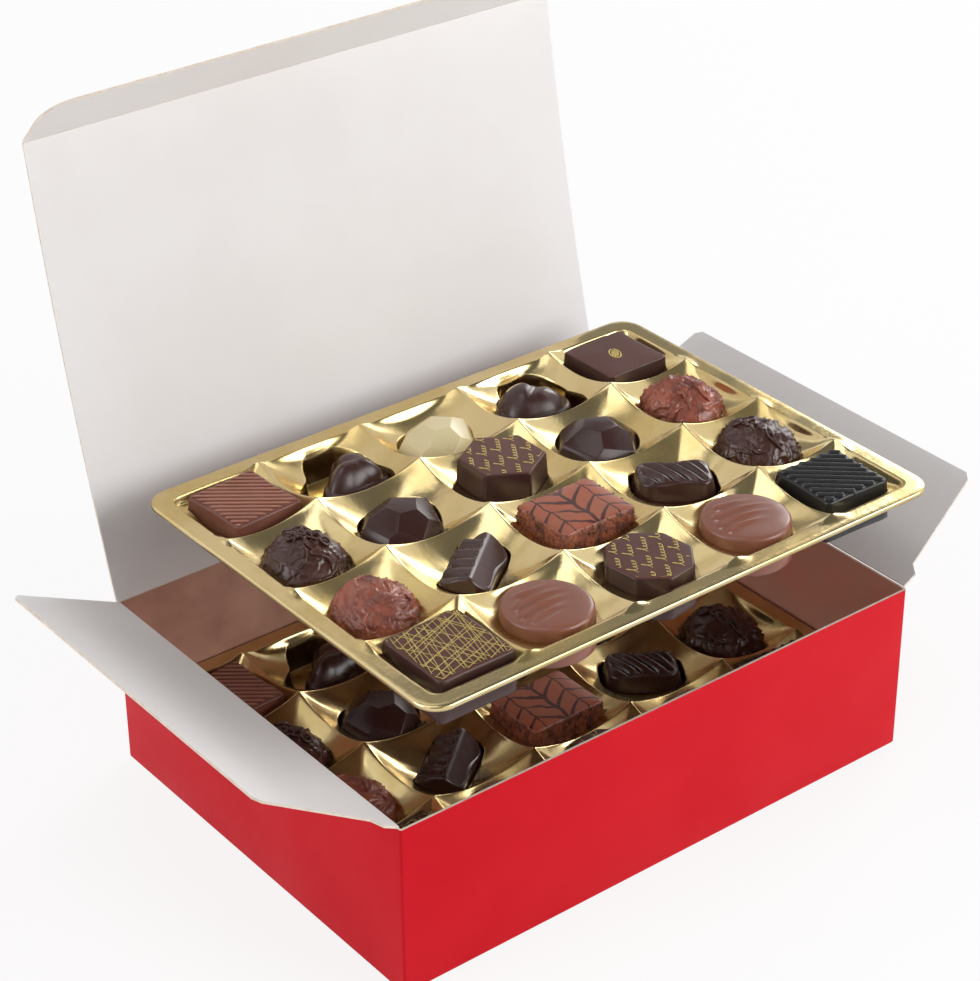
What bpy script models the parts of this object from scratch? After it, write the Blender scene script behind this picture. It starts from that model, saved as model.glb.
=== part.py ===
"""Box of chocolate pralines.

A folding carton with its lid and two side flaps open, a gold moulded tray of
twenty pralines inside it, and a second tray of the same twenty held level
above it.  Metres, +Z up, +X along the long side, the lid hinged at +Y.
The origin is the middle of the carton's underside.
"""
import math

import bmesh
import bpy
from mathutils import Matrix, Vector, noise

# ---------------------------------------------------------------- driving sizes
BOX_L = 0.205               # outside, along X
BOX_W = 0.154               # outside, along Y
BOX_H = 0.061
BOARD = 0.0008              # thickness of the carton's board
GAP = 0.0003                # clearance between neighbouring pieces

LID_REACH = 0.153           # along the lid from its crease to its free edge
LID_LEAN_ROOT = math.radians(16.0)      # from vertical, to the back
LID_LEAN_TIP = math.radians(9.0)
LID_STEPS = 8
TUCK_REACH = 0.023
TUCK_FOLD = math.radians(53.0)          # from the lid's own direction, forwards
TUCK_CORNER = 0.010

FLAP_REACH = 0.046
FLAP_SPREAD = math.radians(61.5)        # from vertical, outwards
FLAP_RELIEF = 0.002         # cut back at each end of the crease
FLAP_TAPER_BACK = 0.0075
FLAP_TAPER_FRONT = 0.011
NOTCH_START = 0.0056        # the step in the front edge, along the flap
NOTCH_END = 0.0082
NOTCH_DEPTH = 0.0035

TRAY_L = 0.201
TRAY_W = 0.151
TRAY_RIM = 0.006            # width of the flat rim
TRAY_LIP = 0.0015           # turned-down outer edge
TRAY_CORNER = 0.008
TRAY_WALL = 0.0005
COLUMNS = (0.034, 0.0403, 0.0404, 0.0403, 0.034)     # left to right
ROWS = (0.0333, 0.0362, 0.0362, 0.0333)              # back to front
POCKET_DEPTH = 0.0130       # below the rim
POCKET_EDGE = 0.0048        # below the rim, where a pocket opens into its bowl
POCKET_ROOM = 0.0009        # round a praline's base
PEAK = 0.0040               # where four bowls meet, above the rim
SAG = 0.0004                # middle of a ridge, below the rim
WALL_SAG = 0.0022           # middle of a bowl's edge at the rim's wall
WALL_PEAK = 0.0018          # where a ridge reaches the rim's wall, above the rim

LOWER_RIM_Z = 0.0265
LOWER_PLACE = (0.0, 0.0)
UPPER_RIM_Z = BOX_H + 0.0398
UPPER_PLACE = (0.0062, -0.0061)

PRALINE_H = 0.0148
DISC_H = 0.0138
TALL_H = 0.0180
GEM_H = 0.0155
TRUFFLE_H = 0.0178
ROUND_SIDES = 16
SOFT_OUTLINE = 16

COLOURS = {                 # linear colour, roughness, metallic
    "board": ((0.60, 0.01, 0.02), 0.45, 0.0),
    "gold": ((0.68, 0.50, 0.22), 0.25, 1.0),
    "dark": ((0.035, 0.014, 0.011), 0.35, 0.0),
    "milk": ((0.16, 0.062, 0.042), 0.45, 0.0),
    "ivory": ((0.72, 0.60, 0.38), 0.40, 0.0),
    "black": ((0.012, 0.010, 0.011), 0.30, 0.0),
}


# ---------------------------------------------------------------- scene helpers
def clear_scene():
    for ob in list(bpy.data.objects):
        bpy.data.objects.remove(ob, do_unlink=True)


def new_collection(name):
    group = bpy.data.collections.new(name)
    bpy.context.scene.collection.children.link(group)
    return group


def make_material(name):
    colour, roughness, metallic = COLOURS[name]
    mat = bpy.data.materials.new(name)
    mat.use_nodes = True
    shader = mat.node_tree.nodes["Principled BSDF"]
    shader.inputs["Base Color"].default_value = (*colour, 1.0)
    shader.inputs["Roughness"].default_value = roughness
    shader.inputs["Metallic"].default_value = metallic
    mat.diffuse_color = (*colour, 1.0)
    return mat


def add_object(name, mesh, group, material=None):
    ob = bpy.data.objects.new(name, mesh)
    group.objects.link(ob)
    if material and not mesh.materials:
        mesh.materials.append(material)
    return ob


def mesh_from(bm, name):
    mesh = bpy.data.meshes.new(name)
    bm.to_mesh(mesh)
    bm.free()
    return mesh


def sheet(ob, thickness):
    """Gives an open surface its thickness, on the side its faces look away from."""
    solid = ob.modifiers.new("thickness", "SOLIDIFY")
    solid.thickness = thickness
    solid.offset = -1.0
    solid.use_even_offset = True
    return solid


# ---------------------------------------------------------------- carton
def build_carton(group, material):
    bm = bmesh.new()
    place = Matrix.Translation((0, 0, BOX_H / 2)) @ Matrix.Diagonal((BOX_L, BOX_W, BOX_H, 1))
    bmesh.ops.create_cube(bm, size=1.0, matrix=place)
    top = max(bm.faces, key=lambda face: face.calc_center_median().z)
    bmesh.ops.delete(bm, geom=[top], context="FACES_ONLY")
    ob = add_object("box_body", mesh_from(bm, "box_body"), group, material)
    sheet(ob, BOARD)


def lid_profile():
    """Points (y, z) along the lid's outer face, from the crease."""
    step = LID_REACH / LID_STEPS
    points = [(0.0, 0.0)]
    for k in range(LID_STEPS):
        lean = LID_LEAN_ROOT + (LID_LEAN_TIP - LID_LEAN_ROOT) * (k + 0.5) / LID_STEPS
        y, z = points[-1]
        points.append((y + step * math.sin(lean), z + step * math.cos(lean)))
    return points


def build_lid(group, material):
    bm = bmesh.new()
    rows = []
    for y, z in lid_profile():
        rows.append([bm.verts.new((side * BOX_L / 2, y, z)) for side in (1, -1)])
    for low, high in zip(rows, rows[1:]):
        bm.faces.new((low[0], low[1], high[1], high[0]))
    ob = add_object("lid", mesh_from(bm, "lid"), group, material)
    ob.location = (0, BOX_W / 2, BOX_H + GAP)
    sheet(ob, BOARD)
    return ob


def build_tuck_flap(group, material, lid):
    """A panel on the lid's free edge, turning about the lid's inner face."""
    half = BOX_L / 2
    r = TUCK_CORNER
    outline = [(half, GAP)]
    for k in range(5):
        a = math.pi / 2 * k / 4
        outline.append((half - r + r * math.cos(a), TUCK_REACH - r + r * math.sin(a)))
    outline += [(-x, z) for x, z in reversed(outline)]
    bm = bmesh.new()
    bm.faces.new([bm.verts.new((x, 0, z)) for x, z in reversed(outline)])
    bmesh.ops.recalc_face_normals(bm, faces=bm.faces)
    if bm.faces[:][0].normal.y > 0:
        bmesh.ops.reverse_faces(bm, faces=bm.faces)
    ob = add_object("tuck_flap", mesh_from(bm, "tuck_flap"), group, material)
    sheet(ob, BOARD)
    tip_y, tip_z = lid_profile()[-1]
    lean = LID_LEAN_TIP
    ob.parent = lid
    ob.location = (0, tip_y - BOARD * math.cos(lean), tip_z + BOARD * math.sin(lean))
    ob.rotation_euler = (TUCK_FOLD - lean, 0, 0)


def build_side_flap(name, side, group, material):
    """side is -1 for the left flap and +1 for the right one."""
    back = BOX_W / 2 - FLAP_RELIEF
    front = -BOX_W / 2 + FLAP_RELIEF / 2
    slope = (FLAP_TAPER_FRONT - NOTCH_DEPTH) / (FLAP_REACH - NOTCH_END)
    outline = [
        (0.0, back),
        (0.0, front),
        (NOTCH_START, front),
        (NOTCH_END, front + NOTCH_DEPTH),
        (FLAP_REACH, front + NOTCH_DEPTH + slope * (FLAP_REACH - NOTCH_END)),
        (FLAP_REACH, BOX_W / 2 - FLAP_TAPER_BACK),
    ]
    bm = bmesh.new()
    face = bm.faces.new([bm.verts.new((0, y, z)) for z, y in outline])
    face.normal_update()
    if face.normal.x * side < 0:
        bmesh.ops.reverse_faces(bm, faces=[face])
    ob = add_object(name, mesh_from(bm, name), group, material)
    sheet(ob, BOARD)
    ob.location = (side * BOX_L / 2, 0, BOX_H + GAP)
    ob.rotation_euler = (0, side * FLAP_SPREAD, 0)


# ---------------------------------------------------------------- outlines
def ring(count, turn=0.0):
    return [turn + 2 * math.pi * k / count for k in range(count)]


def round_outline(radius_x, radius_y, count=ROUND_SIDES):
    return [(radius_x * math.cos(a), radius_y * math.sin(a)) for a in ring(count)]


def square_outline(length, width, corner=0.0018):
    """A rectangle with each corner cut by one facet."""
    x, y = length / 2, width / 2
    points = []
    for sx, sy in ((1, 1), (-1, 1), (-1, -1), (1, -1)):
        pair = [(sx * x, sy * (y - corner)), (sx * (x - corner), sy * y)]
        points += pair if sx * sy > 0 else pair[::-1]
    return points


def octagon_outline(length, width):
    return square_outline(length, width, 0.29 * min(length, width))


def hexagon_outline(across, cut=0.12):
    """Flats towards +X and -X, and each corner cut off by a share of the sides."""
    radius = across / math.sqrt(3)
    corners = [Vector((radius * math.cos(a), radius * math.sin(a))) for a in ring(6, math.pi / 6)]
    points = []
    for k, corner in enumerate(corners):
        points += [corner.lerp(corners[k - 1], cut), corner.lerp(corners[(k + 1) % 6], cut)]
    return [tuple(point) for point in points]


def heart_outline(size):
    """A soft heart, its point towards -Y."""
    points = []
    for a in ring(SOFT_OUTLINE, math.pi / 2):
        x = 0.52 * math.sin(a) ** 3
        y = 0.40 * math.cos(a) - 0.155 * math.cos(2 * a) - 0.045 * math.cos(3 * a) + 0.07
        points.append((-x * size * 1.02, y * size * 1.12))
    return points


def bean_outline(length, width):
    """An oval with a soft dent in its -Y side."""
    points = []
    for a in ring(SOFT_OUTLINE):
        dent = 0.30 * math.exp(-((a - 1.5 * math.pi) / 0.55) ** 2)
        points.append((length / 2 * math.cos(a), width / 2 * math.sin(a) * (1 - dent)))
    return points


# ---------------------------------------------------------------- praline bodies
def loft(rings):
    """A closed body through rings of equal count, from the base upwards."""
    bm = bmesh.new()
    loops = [[bm.verts.new(point) for point in one] for one in rings]
    count = len(loops[0])
    for low, high in zip(loops, loops[1:]):
        for k in range(count):
            j = (k + 1) % count
            bm.faces.new((low[k], low[j], high[j], high[k]))
    bm.faces.new(loops[0][::-1])
    bm.faces.new(loops[-1])
    bmesh.ops.recalc_face_normals(bm, faces=bm.faces)
    return bm


def moulded(outline, levels):
    """An outline carried up through (scale, height) levels."""
    return loft([[(x * s, y * s, z) for x, y in outline] for s, z in levels])


def plain_levels(height, top=0.90, edge=0.0012):
    """Levels of a demoulded praline: a slight foot, drafted sides and a soft top edge."""
    return ((0.985, 0.0), (1.0, 0.001), (top + 0.03, height - edge), (top - 0.02, height))


def facet_body(length, width, height, count, tip):
    """A cut-gem body, narrower towards +X by tip; each ring is turned half a step."""
    levels = ((0.88, 0.0, 0.0), (1.0, 0.28, 0.0), (0.80, 0.68, 0.5), (0.36, 1.0, 0.0))
    rings = []
    for scale, high, half_turns in levels:
        turn = 2 * math.pi / count * half_turns
        loop = []
        for a in ring(count, turn):
            loop.append((length / 2 * scale * math.cos(a),
                         width / 2 * scale * math.sin(a) * (1 - tip * math.cos(a)),
                         height * high))
        rings.append(loop)
    bm = loft(rings)
    bmesh.ops.triangulate(bm, faces=[f for f in bm.faces if len(f.verts) == 4])
    return bm


def truffle_body(length, width, height, seed, rough):
    """A hand-rolled lump: a sphere with a flattened foot and an uneven skin."""
    bm = bmesh.new()
    bmesh.ops.create_icosphere(bm, subdivisions=3, radius=1.0)
    shift = Vector((seed * 3.1, seed * 1.7, seed * 2.3))
    for vert in bm.verts:
        direction = vert.co.normalized()
        swell = 1 + rough * noise.noise(direction * 2.6 + shift)
        z = max(direction.z * swell, -0.72)
        vert.co = Vector((direction.x * swell * length / 2, direction.y * swell * width / 2,
                          (z + 0.72) / 1.72 * height))
    return bm


def ribbed_block(length, width, top, pitch, depth, angle):
    """A block whose upper face has ridges along its own X, turned by angle."""
    count = int(width / pitch)
    section = [(-count * pitch / 2, -0.002), (-count * pitch / 2, top - depth)]
    for k in range(count):
        y = (k - count / 2) * pitch
        section += [(y + pitch * 0.30, top), (y + pitch * 0.55, top), (y + pitch, top - depth)]
    section.append((count * pitch / 2, -0.002))
    bm = bmesh.new()
    ends = [[bm.verts.new((x, y, z)) for y, z in section] for x in (-length / 2, length / 2)]
    size = len(section)
    for k in range(size):
        j = (k + 1) % size
        bm.faces.new((ends[0][k], ends[0][j], ends[1][j], ends[1][k]))
    bm.faces.new(ends[0][::-1])
    bm.faces.new(ends[1])
    bmesh.ops.recalc_face_normals(bm, faces=bm.faces)
    bmesh.ops.rotate(bm, verts=bm.verts, matrix=Matrix.Rotation(angle, 3, "Z"))
    return bm


def common_part(bm, cutter_bm, cutters):
    """The body that two closed meshes share."""
    ob = add_object("blank", mesh_from(bm, "praline"), cutters)
    cutter = add_object("ridge_cutter", mesh_from(cutter_bm, "ridge_cutter"), cutters)
    for helper in (ob, cutter):
        helper.hide_render = True
        helper.display_type = "WIRE"
    cut = ob.modifiers.new("ridges", "BOOLEAN")
    cut.operation = "INTERSECT"
    cut.solver = "EXACT"
    cut.object = cutter
    graph = bpy.context.evaluated_depsgraph_get()
    mesh = bpy.data.meshes.new_from_object(ob.evaluated_get(graph))
    mesh.materials.clear()
    ob.modifiers.clear()
    return mesh


def ridged(outline, height, pitch, depth, angle, cutters):
    """A moulded praline with ridges across its top, turned by angle in degrees."""
    reach = 2.2 * max(math.hypot(x, y) for x, y in outline)
    body = moulded(outline, plain_levels(height))
    cutter = ribbed_block(reach, reach, height + 0.0001, pitch, depth, math.radians(angle))
    return common_part(body, cutter, cutters)


# ---------------------------------------------------------------- the assortment
def assortment(cutters):
    """Twenty designs: (column, row) -> name, material, mesh, turn in degrees, shift."""
    def plain(outline, top=0.90, height=PRALINE_H):
        return mesh_from(moulded(outline, plain_levels(height, top)), "praline")

    def gem(length, width, count, tip):
        return mesh_from(facet_body(length, width, GEM_H, count, tip), "praline")

    def truffle(length, width, seed, rough):
        return mesh_from(truffle_body(length, width, TRUFFLE_H, seed, rough), "praline")

    def ridges(outline, pitch, depth, angle, height=PRALINE_H):
        return ridged(outline, height, pitch, depth, angle, cutters)

    disc = round_outline(0.0150, 0.0150)
    return {
        (0, 0): ("line_square", "milk",
                 ridges(square_outline(0.0268, 0.0278), 0.0030, 0.0006, -42), 4,
                 (0.0006, -0.0005)),
        (0, 1): ("dark_truffle_spiky", "dark", truffle(0.0262, 0.0280, 1, 0.20), 0,
                 (-0.001, -0.001)),
        (0, 2): ("milk_truffle_swirl", "milk", truffle(0.0262, 0.0284, 2, 0.16), 0,
                 (-0.001, -0.001)),
        (0, 3): ("cross_line_square", "dark", plain(square_outline(0.0288, 0.0296), 0.94), 0,
                 (0.0004, -0.0004)),
        (1, 0): ("heart", "dark", plain(heart_outline(0.0285), 0.80), -28, (0, -0.002)),
        (1, 1): ("facet_oval_dark", "dark", gem(0.0312, 0.0270, 8, 0.16), 30, (-0.001, -0.001)),
        (1, 2): ("leaf_bar", "dark",
                 ridges(square_outline(0.0310, 0.0185, 0.0035), 0.0042, 0.0012, 62), 36,
                 (-0.0005, -0.0005)),
        (1, 3): ("ridged_disc_left", "milk", ridges(disc, 0.0040, 0.0007, -36, DISC_H), 0,
                 (0.0003, 0)),
        (2, 0): ("facet_oval_ivory", "ivory", gem(0.0305, 0.0252, 8, 0.16), 24,
                 (-0.001, -0.001)),
        (2, 1): ("hexagon_tall", "dark", plain(hexagon_outline(0.0275), 0.92, TALL_H), 0,
                 (-0.0004, 0.0004)),
        (2, 2): ("marbled_square", "milk",
                 plain(square_outline(0.0298, 0.0246), 0.95, 0.0162), 0, (0, 0)),
        (2, 3): ("octagon", "dark", plain(octagon_outline(0.0280, 0.0290)), 8, (0, 0)),
        (3, 0): ("bean", "dark", plain(bean_outline(0.0300, 0.0250), 0.80), -12,
                 (-0.001, -0.001)),
        (3, 1): ("facet_round_dark", "dark", gem(0.0298, 0.0280, 8, 0), 10, (-0.001, 0)),
        (3, 2): ("ridged_bar", "dark",
                 ridges(square_outline(0.0298, 0.0200, 0.0032), 0.0042, 0.0012, 18), -32,
                 (0.0005, 0)),
        (3, 3): ("ridged_disc_right", "milk", ridges(disc, 0.0040, 0.0007, -40, DISC_H), 0,
                 (-0.0004, 0.0002)),
        (4, 0): ("emblem_square", "dark", plain(square_outline(0.0268, 0.0262), 0.93), 1,
                 (-0.0006, 0.0006)),
        (4, 1): ("milk_truffle_folded", "milk", truffle(0.0262, 0.0272, 3, 0.16), 0,
                 (-0.0006, 0)),
        (4, 2): ("dark_truffle_shaggy", "dark", truffle(0.0262, 0.0280, 4, 0.20), 0,
                 (-0.0006, 0)),
        (4, 3): ("ribbed_square", "black",
                 ridges(square_outline(0.0272, 0.0266), 0.0030, 0.0008, -40), -2,
                 (-0.0004, 0.0004)),
    }


# ---------------------------------------------------------------- trays
def edges_from(sizes, sign):
    """Cell borders from a list of cell sizes, centred on zero."""
    at = -sign * sum(sizes) / 2
    borders = [at]
    for size in sizes:
        at += sign * size
        borders.append(at)
    return borders


COLUMN_X = edges_from(COLUMNS, 1)       # left to right
ROW_Y = edges_from(ROWS, -1)            # back to front


def cell_centre(column, row):
    return ((COLUMN_X[column] + COLUMN_X[column + 1]) / 2, (ROW_Y[row] + ROW_Y[row + 1]) / 2)


def border_height(i, j):
    """Height of the bowls' common border at half-cell steps i along X and j along Y."""
    on_wall = i in (0, 2 * len(COLUMNS)) or j in (0, 2 * len(ROWS))
    at_corner = i in (0, 2 * len(COLUMNS)) and j in (0, 2 * len(ROWS))
    middle = i % 2 == 1 or j % 2 == 1
    if at_corner:
        return -WALL_SAG
    if on_wall:
        return -WALL_SAG if middle else WALL_PEAK
    return -SAG if middle else PEAK


def border_point(i, j):
    def halfway(borders, k):
        return (borders[k // 2] + borders[(k + 1) // 2]) / 2

    return Vector((halfway(COLUMN_X, i), halfway(ROW_Y, j), border_height(i, j)))


CELL_STEPS = ((0, 0), (0, 1), (0, 2), (1, 2), (2, 2), (2, 1), (2, 0), (1, 0))


def pocket_outline(mesh, turn, room):
    """The eight-sided outline that touches the turned mesh's footprint all round, plus room."""
    points = [vert.co.xy for vert in mesh.vertices]
    headings = ring(8)
    reach = []
    for a in headings:
        away = Vector((math.cos(a), math.sin(a)))
        reach.append(max(away.dot(point) for point in points) + room)
    half_step = math.pi / 8
    spin = Matrix.Rotation(math.radians(turn), 2)
    outline = []
    for k, a in enumerate(headings):
        here, beyond = reach[k], reach[(k + 1) % len(reach)]
        across = (beyond - here * math.cos(2 * half_step)) / math.sin(2 * half_step)
        outline.append(spin @ Vector((here * math.cos(a) - across * math.sin(a),
                                      here * math.sin(a) + across * math.cos(a))))
    return outline


def stitch(bm, outer, inner, centre):
    """Triangles between two loops that both run anticlockwise round a centre."""
    def bearing(vert):
        return math.atan2(vert.co.y - centre.y, vert.co.x - centre.x)

    def turns(loop, start):
        """Bearings of the loop from one vertex on, each no less than the one before."""
        run = [start]
        for vert in loop[1:] + loop[:1]:
            run.append(run[-1] + (bearing(vert) - run[-1]) % (2 * math.pi))
        return run

    first = bearing(inner[0])
    lead = min(range(len(outer)), key=lambda k: abs(math.remainder(bearing(outer[k]) - first,
                                                                   2 * math.pi)))
    outer = outer[lead:] + outer[:lead]
    outer_turns = turns(outer, first + math.remainder(bearing(outer[0]) - first, 2 * math.pi))
    inner_turns = turns(inner, first)
    i = j = 0
    while i < len(outer) or j < len(inner):
        a, b = outer[i % len(outer)], inner[j % len(inner)]
        if j == len(inner) or (i < len(outer) and outer_turns[i + 1] <= inner_turns[j + 1]):
            i += 1
            bm.faces.new((a, outer[i % len(outer)], b))
        else:
            j += 1
            bm.faces.new((a, inner[j % len(inner)], b))


def rim_outline(inset, z):
    """The rim's line at an inset, with a point for each half cell of the border."""
    columns, rows = 2 * len(COLUMNS), 2 * len(ROWS)
    walk = [(i, 0) for i in range(columns)]
    walk += [(columns, j) for j in range(rows)]
    walk += [(i, rows) for i in range(columns, 0, -1)]
    walk += [(0, j) for j in range(rows, 0, -1)]
    half_x, half_y = TRAY_L / 2 - inset, TRAY_W / 2 - inset
    radius = max(TRAY_CORNER - inset, 0.001)
    cut = radius * (1 - math.sqrt(0.5))
    line = []
    for i, j in walk:
        x, y, _ = border_point(i, j)
        x = math.copysign(half_x, x) if i in (0, columns) else x
        y = math.copysign(half_y, y) if j in (0, rows) else y
        if i in (0, columns) and j in (0, rows):
            x -= math.copysign(cut, x)
            y -= math.copysign(cut, y)
        line.append(((i, j), Vector((x, y, z))))
    return line


def build_tray(name, place, rim_z, designs, group, material):
    bm = bmesh.new()
    border = {}

    def border_vert(i, j):
        if (i, j) not in border:
            border[i, j] = bm.verts.new(border_point(i, j))
        return border[i, j]

    for (column, row), (_, _, mesh, turn, shift) in designs.items():
        cx, cy = cell_centre(column, row)
        centre = Vector((cx + shift[0], cy + shift[1]))
        outer = [border_vert(2 * column + i, 2 * row + j) for i, j in CELL_STEPS]
        outline = [centre + point for point in pocket_outline(mesh, turn, POCKET_ROOM)]
        edge, floor = [[bm.verts.new((at.x, at.y, z)) for at in outline]
                       for z in (-POCKET_EDGE, -POCKET_DEPTH)]
        stitch(bm, outer, edge, centre)
        for k in range(len(edge)):
            j = (k + 1) % len(edge)
            bm.faces.new((edge[k], edge[j], floor[j], floor[k]))
        bm.faces.new(floor)

    loops = [[border[step] for step, _ in rim_outline(0, 0)]]
    for inset, z in ((TRAY_RIM, 0.0), (0.0, 0.0), (0.0, -TRAY_LIP)):
        loops.append([bm.verts.new(at) for _, at in rim_outline(inset, z)])
    for near, far in zip(loops, loops[1:]):
        for k in range(len(near)):
            j = (k + 1) % len(near)
            bm.faces.new((near[k], near[j], far[j], far[k]))
    bmesh.ops.recalc_face_normals(bm, faces=bm.faces)
    bm.faces.ensure_lookup_table()
    lowest = min(bm.faces, key=lambda face: face.calc_center_median().z)
    if lowest.normal.z < 0:
        bmesh.ops.reverse_faces(bm, faces=bm.faces)
    ob = add_object(name, mesh_from(bm, name), group, material)
    ob.location = (*place, rim_z)
    sheet(ob, TRAY_WALL)


def place_pralines(layer, place, rim_z, designs, group, materials):
    for (column, row), (name, material, mesh, turn, shift) in designs.items():
        ob = add_object(f"{layer}_{name}", mesh, group, materials[material])
        cx, cy = cell_centre(column, row)
        ob.location = (place[0] + cx + shift[0], place[1] + cy + shift[1],
                       rim_z - POCKET_DEPTH + GAP)
        ob.rotation_euler = (0, 0, math.radians(turn))


def main():
    clear_scene()
    parts = new_collection("praline_box")
    cutters = new_collection("praline_box_cutters")
    materials = {name: make_material(name) for name in COLOURS}
    build_carton(parts, materials["board"])
    lid = build_lid(parts, materials["board"])
    build_tuck_flap(parts, materials["board"], lid)
    build_side_flap("flap_left", -1, parts, materials["board"])
    build_side_flap("flap_right", 1, parts, materials["board"])
    designs = assortment(cutters)
    for layer, place, rim_z in (("lower", LOWER_PLACE, LOWER_RIM_Z),
                                ("upper", UPPER_PLACE, UPPER_RIM_Z)):
        build_tray("tray_" + layer, place, rim_z, designs, parts, materials["gold"])
        place_pralines(layer, place, rim_z, designs, parts, materials)


main()
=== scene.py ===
"""Looks for the open box of chocolate pralines.

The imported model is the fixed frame.  Each praline, tray and board panel gets a
detailed piece that stands for its plain solid, in the same place.
"""
import math
import random

import bmesh
import bpy
import numpy as np
from mathutils import Matrix, Vector, noise

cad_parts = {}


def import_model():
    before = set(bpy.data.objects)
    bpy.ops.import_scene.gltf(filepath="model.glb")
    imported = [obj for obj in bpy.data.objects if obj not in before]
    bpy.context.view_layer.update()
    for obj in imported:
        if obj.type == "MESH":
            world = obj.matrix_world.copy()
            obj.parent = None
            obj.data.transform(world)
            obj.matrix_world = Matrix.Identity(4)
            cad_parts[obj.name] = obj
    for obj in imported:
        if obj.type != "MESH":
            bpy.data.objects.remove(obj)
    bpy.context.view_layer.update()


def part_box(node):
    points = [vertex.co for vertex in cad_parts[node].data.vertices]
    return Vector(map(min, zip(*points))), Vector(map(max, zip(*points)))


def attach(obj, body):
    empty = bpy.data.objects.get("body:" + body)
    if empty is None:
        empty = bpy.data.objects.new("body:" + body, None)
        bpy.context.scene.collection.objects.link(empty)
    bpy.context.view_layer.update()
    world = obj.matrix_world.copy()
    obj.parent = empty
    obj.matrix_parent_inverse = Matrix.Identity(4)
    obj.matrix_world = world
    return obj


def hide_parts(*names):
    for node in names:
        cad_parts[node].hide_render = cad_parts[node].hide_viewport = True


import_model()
TAU = 2 * math.pi
MM = 0.001

# ---------------------------------------------------------------- sizes shared with the solids
BOARD = 0.0008              # thickness of the carton's board
SHARP = math.radians(40)    # a fold steeper than this is drawn as a hard edge
GAP = 0.0003
LID_REACH = 0.153
LID_LEAN_ROOT = math.radians(16.0)
LID_LEAN_TIP = math.radians(9.0)
TUCK_REACH = 0.023
TUCK_FOLD = math.radians(53.0)
TUCK_CORNER = 0.010
FLAP_REACH = 0.046
FLAP_SPREAD = math.radians(61.5)
FLAP_RELIEF = 0.002
FLAP_TAPER_BACK = 0.0075
FLAP_TAPER_FRONT = 0.011
NOTCH_START = 0.0056
NOTCH_END = 0.0082
NOTCH_DEPTH = 0.0035

TRAY_RIM = 0.006
TRAY_LIP = 0.0015
TRAY_CORNER = 0.008
COLUMNS = (0.034, 0.0403, 0.0404, 0.0403, 0.034)
ROWS = (0.0333, 0.0362, 0.0362, 0.0333)
POCKET_DEPTH = 0.0130
PEAK = 0.0040               # where four bowls meet, above the rim
SAG = 0.0004                # middle of a ridge, below the rim
WALL_SAG = 0.0022
WALL_PEAK = 0.0018
PRALINE_H = 0.0148
DISC_H = 0.0138
TALL_H = 0.0180
GEM_H = 0.0155
TRUFFLE_H = 0.0178

FEATHER_STEP = 0.30         # half the width of one feather, as a share of the plan
FEATHER_PITCH = 0.115       # half the spacing of its veins
PLAN = 0.030                # the length that the plan's UV map runs over
SKY = 0.36                  # the room's own light on matt surfaces

# ---------------------------------------------------------------- colours, as seen on a screen
RED = (204, 10, 30)
WHITE_BOARD = (232, 229, 228)
CUT_BOARD = (226, 214, 200)
GOLD = (222, 201, 150)
GOLD_DEEP = (190, 160, 84)
# Painted light: the carton's inside is white board. The next two colours stand in for light
# shining through its red print, and for red bounce light and shade.
PAINTED_GLOW_THROUGH_PRINT = (250, 156, 136)     # board that glows with light through its red print
PAINTED_RED_BOUNCE = (224, 178, 158)
# Partly painted reflection: the film's own beige underside, tinted pinkish brown by the red inside
# of the carton and the chocolates that it mirrors.
FILM = (206, 180, 166)
MILK = (134, 82, 64)
MILK_WARM = (140, 80, 58)
ORANGE_MILK = (160, 84, 56)
IVORY = (214, 199, 154)
FEATHER_DARK = (70, 30, 24)
CRUMB_FLECK = (214, 158, 118)


def linear(colour):
    """A screen colour, 0 to 255, as linear light."""
    out = []
    for value in colour:
        c = value / 255
        out.append(c / 12.92 if c <= 0.04045 else ((c + 0.055) / 1.055) ** 2.4)
    return (*out, 1.0)


# ---------------------------------------------------------------- node helpers
def add(tree, kind, feeds=None, **settings):
    """A node with its settings; feeds gives inputs a value or another node's socket."""
    node = tree.nodes.new(kind)
    for key, value in settings.items():
        setattr(node, key, value)
    for key, value in (feeds or {}).items():
        if isinstance(value, bpy.types.NodeSocket):
            tree.links.new(value, node.inputs[key])
        else:
            node.inputs[key].default_value = value
    return node


def calc(tree, operation, *values):
    """The output of a math node on numbers and sockets."""
    return add(tree, "ShaderNodeMath", dict(enumerate(values)), operation=operation).outputs[0]


def socket(tree, name, kind, way="INPUT", value=None, low=None, high=None):
    made = tree.interface.new_socket(name=name, in_out=way, socket_type="NodeSocket" + kind)
    if value is not None:
        made.default_value = value
    if low is not None:
        made.min_value, made.max_value = low, high
    return made


def new_group(name, inputs, outputs, kind="ShaderNodeTree"):
    """A node group with its named sockets; an input is (name, kind, value, low, high)."""
    tree = bpy.data.node_groups.new(name, kind)
    for title, form, *value in inputs:
        socket(tree, title, form, "INPUT", *value)
    for title, form in outputs:
        socket(tree, title, form, "OUTPUT")
    given = tree.nodes.new("NodeGroupInput").outputs
    return tree, given, tree.nodes.new("NodeGroupOutput").inputs


def mixed(tree, share, under, over):
    """A colour mixed from two colours by a share."""
    return add(tree, "ShaderNodeMix", {0: share, 6: under, 7: over}, data_type="RGBA").outputs[2]


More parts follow.
